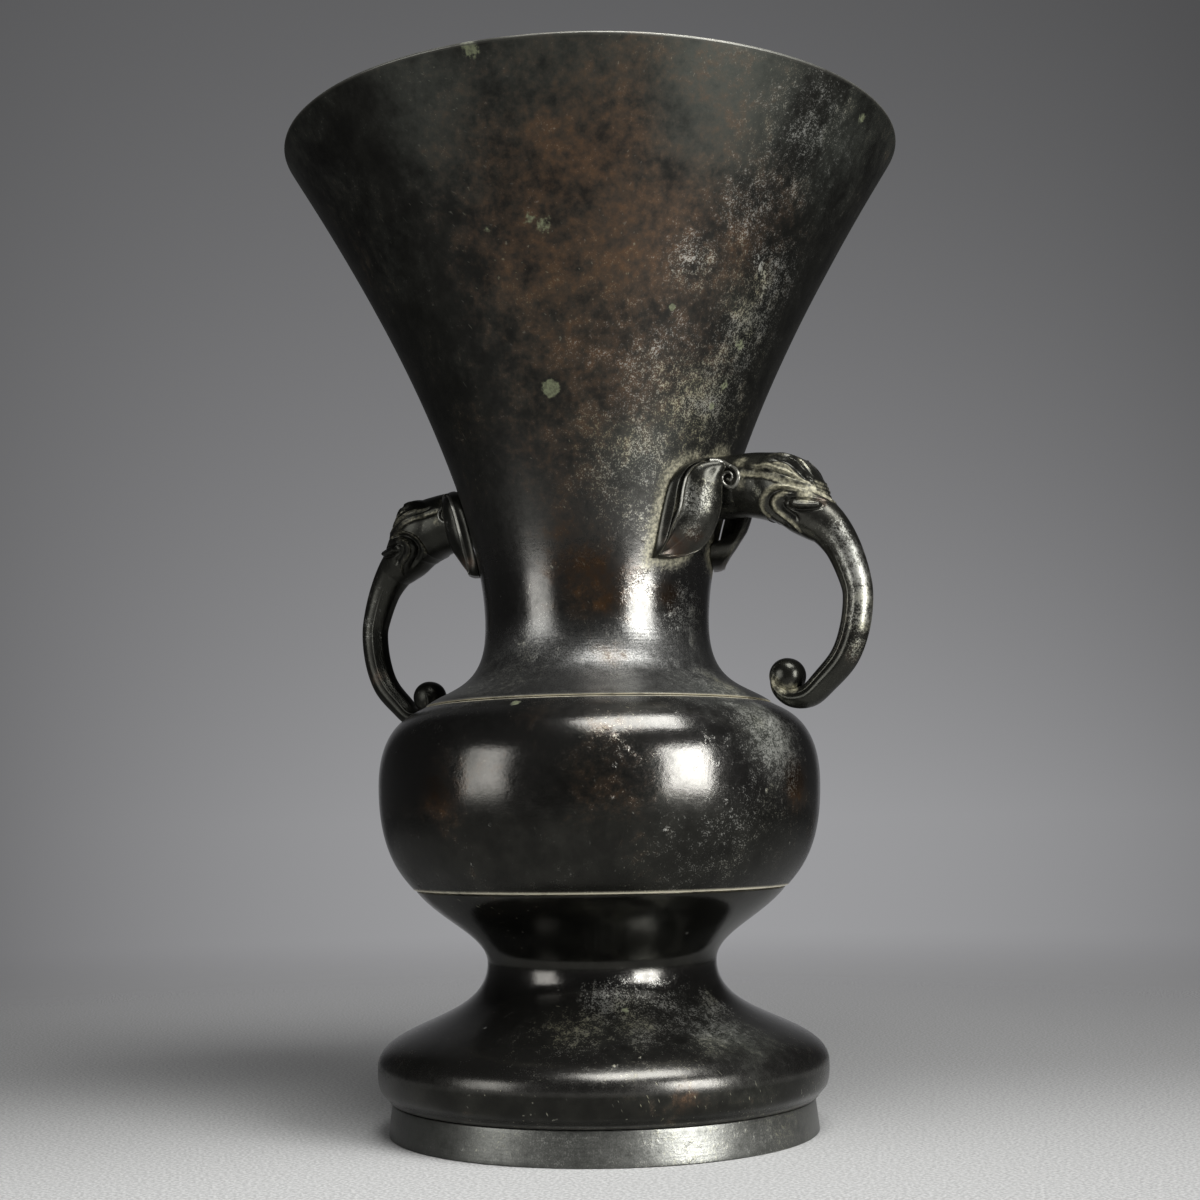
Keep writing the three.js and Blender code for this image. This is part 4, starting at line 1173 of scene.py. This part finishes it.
def bronze(material, tree, chips, verdigris, dark, polished, brown, deep_brown, rust_level, roughness, grain):
    """Waxed old bronze: dark skin, brown patches, grey film that is partly painted sheen, bright specks and
    pale wax in hollows.
    """
    material.use_nodes = True
    n = Nodes(material.node_tree)
    place = n.place()
    f = {name: n.stored(name) for name in STORED}
    f.update((name, n.noise(place, *settings)) for name, settings in NOISES.items())
    turning, scratch = (
        n.noise(n.stretched(place, scales, turn), 1.0, detail) for scales, turn, detail in (TURNING, SCRATCHES))
    clouds, mottle, grains = f["clouds"], f["mottle"], f["grains"]
    gloss, brushed = f["gloss"], f["brushed"]

    def grown(name, base=0.0):
        """How strongly a mark shows, by its mix and its span."""
        return n.ramp(n.total(f, **{"base": base, **MIXES[name]}), *SPANS[name])

    def rest(value):
        return n.math("SUBTRACT", 1.0, value)

    def lay(share, tint, metallic, roughening, rough_share=None):
        """Lays a colour over the skin, with its own metal and roughness where they are given."""
        nonlocal colour, metal, rough
        colour = n.blend(share, colour, tint)
        if metallic is not None:
            metal = n.between(share, metal, metallic)
        if roughening is not None:
            rough = n.between(share if rough_share is None else rough_share, rough, roughening)

    pits = n.times(brushed, n.ramp(f["dust"], *PIT_SPAN))
    polish = n.times(f["polish"], grown("smudge"), rest(pits))
    skin = n.blend(n.ramp(mottle, *SKIN_SPAN), *(tuple(shade * c for c in dark) for shade in SKIN_SHADES))
    colour = n.blend(polish, skin, n.blend(brushed, polished, BRUSHED_METAL))
    metal = n.swing(polish, *SKIN_METAL)
    rough = n.math("MULTIPLY_ADD", brushed, BRUSHED_ROUGHNESS, n.swing(gloss, *roughness, "LINEAR"))

    # Grey hazy film, partly painted sheen where the lamps glance off the skin
    haze_and_sheen = grown("haze_and_sheen")
    lay(haze_and_sheen, HAZE_AND_SHEEN, *SHEEN["haze_and_sheen"], n.times(haze_and_sheen, HAZE_DULLING))

    rust = grown("rust", rust_level)
    earth = n.blend(grown("ruddy"), deep_brown, brown)
    earth = n.blend(polish, earth, n.blend(RUST_SHADE, earth, BLACK))
    lay(rust, earth, n.swing(polish, *RUST_METAL), RUST_ROUGHNESS, n.times(rust, rest(gloss)))

    # Worn patches: specks gather where the skin is thin, brightest in the middle of a patch; on the handles
    # some are painted highlights
    f["chip"] = n.times(n.near_any(place, tree, chips), grown("broken"))
    f["density"] = density = n.total(f, **MIXES["density"])
    dusty = n.times(grown("dusty"), n.ramp(density, *DUSTY_DENSITY))
    chipped = n.math("MULTIPLY_ADD", f["chip"], *CHIP_PATCH)
    f["patch"] = patch = n.math("MAXIMUM", n.total(f, **MIXES["patch"]), chipped)
    worn = n.ramp(patch, *WORN_SPAN)
    fleck = n.times(grown("fleck"), n.ramp(patch, *FLECK_PATCH))
    dash = n.times(n.ramp(scratch, *DASH_SPAN), n.ramp(clouds, *DASH_CLOUDS), n.swing(gloss, *DASH_GLOSS))
    fleck = n.math("MAXIMUM", n.math("MAXIMUM", fleck, dusty), dash)
    rough = n.math("MULTIPLY_ADD", worn, WORN_ROUGHNESS, rough)
    lay(fleck, n.blend(n.ramp(clouds, *OLIVE_SPAN), WORN_METAL, WORN_OLIVE), *SHEEN["fleck"])

    f["verdigris"] = n.near_any(place, tree, verdigris)
    lay(grown("green"), n.blend(n.ramp(grains, *GREEN_SPAN), VERDIGRIS_DEEP, VERDIGRIS_GREEN), *SHEEN["green"])

    f["hollows"] = n.math("MAXIMUM", f["pale"], f["deposit"])
    f["wax"] = wax = grown("wax")
    lay(wax, n.blend(n.ramp(grains, *WAX_SPAN), PALE_WAX_DEEP, PALE_WAX), *SHEEN["wax"])

    # Pale line above each joint: a tan deposit and a painted highlight
    lay(n.times(f["seam"], n.ramp(mottle, *SEAM_MOTTLE)), SEAM_TAN, *SHEEN["seam"])
    # Bright metal on the lip and the ears' rims: worn metal, and on the lip a painted highlight
    lay(n.times(f["wear_and_glint"], n.ramp(clouds, *WEAR_AND_GLINT_CLOUDS)), WEAR_AND_GLINT_METAL, *SHEEN["wear_and_glint"])
    lay(f["inside"], n.blend(clouds, INSIDE_COLOUR, INSIDE_DARK), *SHEEN["inside"])

    rough = n.math("ADD", rough, n.total(f, **MIXES["unevenness"]))
    height = n.total(f, **RELIEF)
    for field, share, relief in (
            (grains, worn, GRAIN_RELIEF), (f["spots"], worn, SPOT_RELIEF), (turning, brushed, TURNING_RELIEF)):
        height = n.math("MULTIPLY_ADD", field, n.swing(share, *relief), height)
    bump = n.add("ShaderNodeBump", dict(Strength=grain, Distance=BUMP_DISTANCE, Height=height))
    shader = n.add("ShaderNodeBsdfPrincipled", {
        "Base Color": colour, "Metallic": metal, "Roughness": rough, "Normal": bump.outputs[0]})
    n.add("ShaderNodeOutputMaterial", dict(Surface=shader.outputs[0]))


def add_world():
    """Grey studio wall behind the vase, brightest low down, in a darker room."""
    world = bpy.data.worlds.new("studio")
    world.use_nodes = True
    bpy.context.scene.world = world
    n = Nodes(world.node_tree)
    ray = n.add("ShaderNodeTexCoord").outputs["Generated"]
    height = n.math("MAXIMUM", n.along(ray, (0, 0, 1)), 0.0)
    facing = n.along(ray, -VIEW_AWAY)
    side = n.math("DIVIDE", n.along(ray, VIEW_RIGHT), n.math("MAXIMUM", facing, WALL_NEAREST))
    side = n.math("SUBTRACT", side, n.swing(height, *WALL_CENTRE, "LINEAR"))
    fall = n.times(n.swing(height, *WALL_FALL, "LINEAR"), side, side)
    glow = n.times(n.math("SUBTRACT", 1.0, fall), n.ramp(facing, *WALL_EDGE))
    glow = n.math("MAXIMUM", glow, ROOM_SHARE)
    grey = n.times(n.math("EXPONENT", n.times(height, -WALL_FADE)), WALL_GREY, glow)
    background = n.add("ShaderNodeBackground", dict(Color=n.tinted(grey, WALL_TINT), Strength=1.0))
    n.add("ShaderNodeOutputWorld", dict(Surface=background.outputs[0]))


def floor_material():
    """Pale matte cloth with painted light and shade, paler in front of the vase and darker behind it and to its
    right, that fades into the wall far away.
    """
    material = bpy.data.materials.new("pale_table")
    material.use_nodes = True
    n = Nodes(material.node_tree)
    place = n.place()
    cloth = n.ramp(n.noise(place, *CLOTH_NOISE), *CLOTH_RANGE)
    # Painted light and shade: paler in front of the vase, darker behind it and towards its right
    tone = n.times(n.ramp(n.along(place, VIEW_AWAY), *FLOOR_FADE, *FLOOR_PAINTED_LIGHT_TONES),
                   n.ramp(n.along(place, VIEW_RIGHT), *FLOOR_SIDE, *FLOOR_SIDE_PAINTED_SHADE),
                   n.swing(cloth, *CLOTH_SHARES, "LINEAR"))
    shader = n.add("ShaderNodeBsdfPrincipled", {
        "Base Color": n.tinted(tone, FLOOR_TINT), "Roughness": FLOOR_ROUGHNESS})
    clear = n.add("ShaderNodeBsdfTransparent").outputs[0]
    share = n.near(place, (0, 0, 0), FLOOR_FADE_RADIUS)
    faded = n.add("ShaderNodeMixShader", enumerate((share, clear, shader.outputs[0])))
    n.add("ShaderNodeOutputMaterial", dict(Surface=faded.outputs[0]))
    return material


def add_floor():
    mesh = bpy.data.meshes.new("table")
    angles = round_angles(FLOOR_SIDES)
    ring = np.stack([np.cos(angles), np.sin(angles), 0 * angles], 1) * FLOOR_RADIUS
    mesh.from_pydata(ring.tolist(), [], [tuple(range(FLOOR_SIDES))])
    mesh.materials.append(floor_material())
    add_object("table", mesh)


body_bronze, band_bronze, handle_bronze, inner_bronze = (
    bpy.data.materials.new(name) for name in ("old_bronze", "band_bronze", "handle_bronze", "inner_bronze"))
body = [trumpet_neck(body_bronze), belly(body_bronze), pedestal(body_bronze), foot_band(band_bronze)]
grips = handles(handle_bronze)
body_tree, grip_tree = tree_of(body), tree_of(grips)
for piece in body:
    age_body(piece, body_tree, grip_tree)
for piece in grips:
    age_grip(piece, grip_tree)
bronze(body_bronze, body_tree, CHIPS, VERDIGRIS, **BODY_LOOK)
bronze(band_bronze, body_tree, (), (), **BAND_LOOK)
bronze(handle_bronze, grip_tree, (), (), **HANDLE_LOOK)
bronze(inner_bronze, body_tree, (), (), **INNER_LOOK)
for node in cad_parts.values():
    if not node.hide_render:
        node.data.materials.clear()
        node.data.materials.append(inner_bronze)

add_camera()
add_world()
add_floor()
for name, settings in SOFT_BOXES.items():
    add_soft_box(name, *settings)

scene = bpy.context.scene
scene.view_settings.view_transform = "Standard"
bpy.context.view_layer.update()
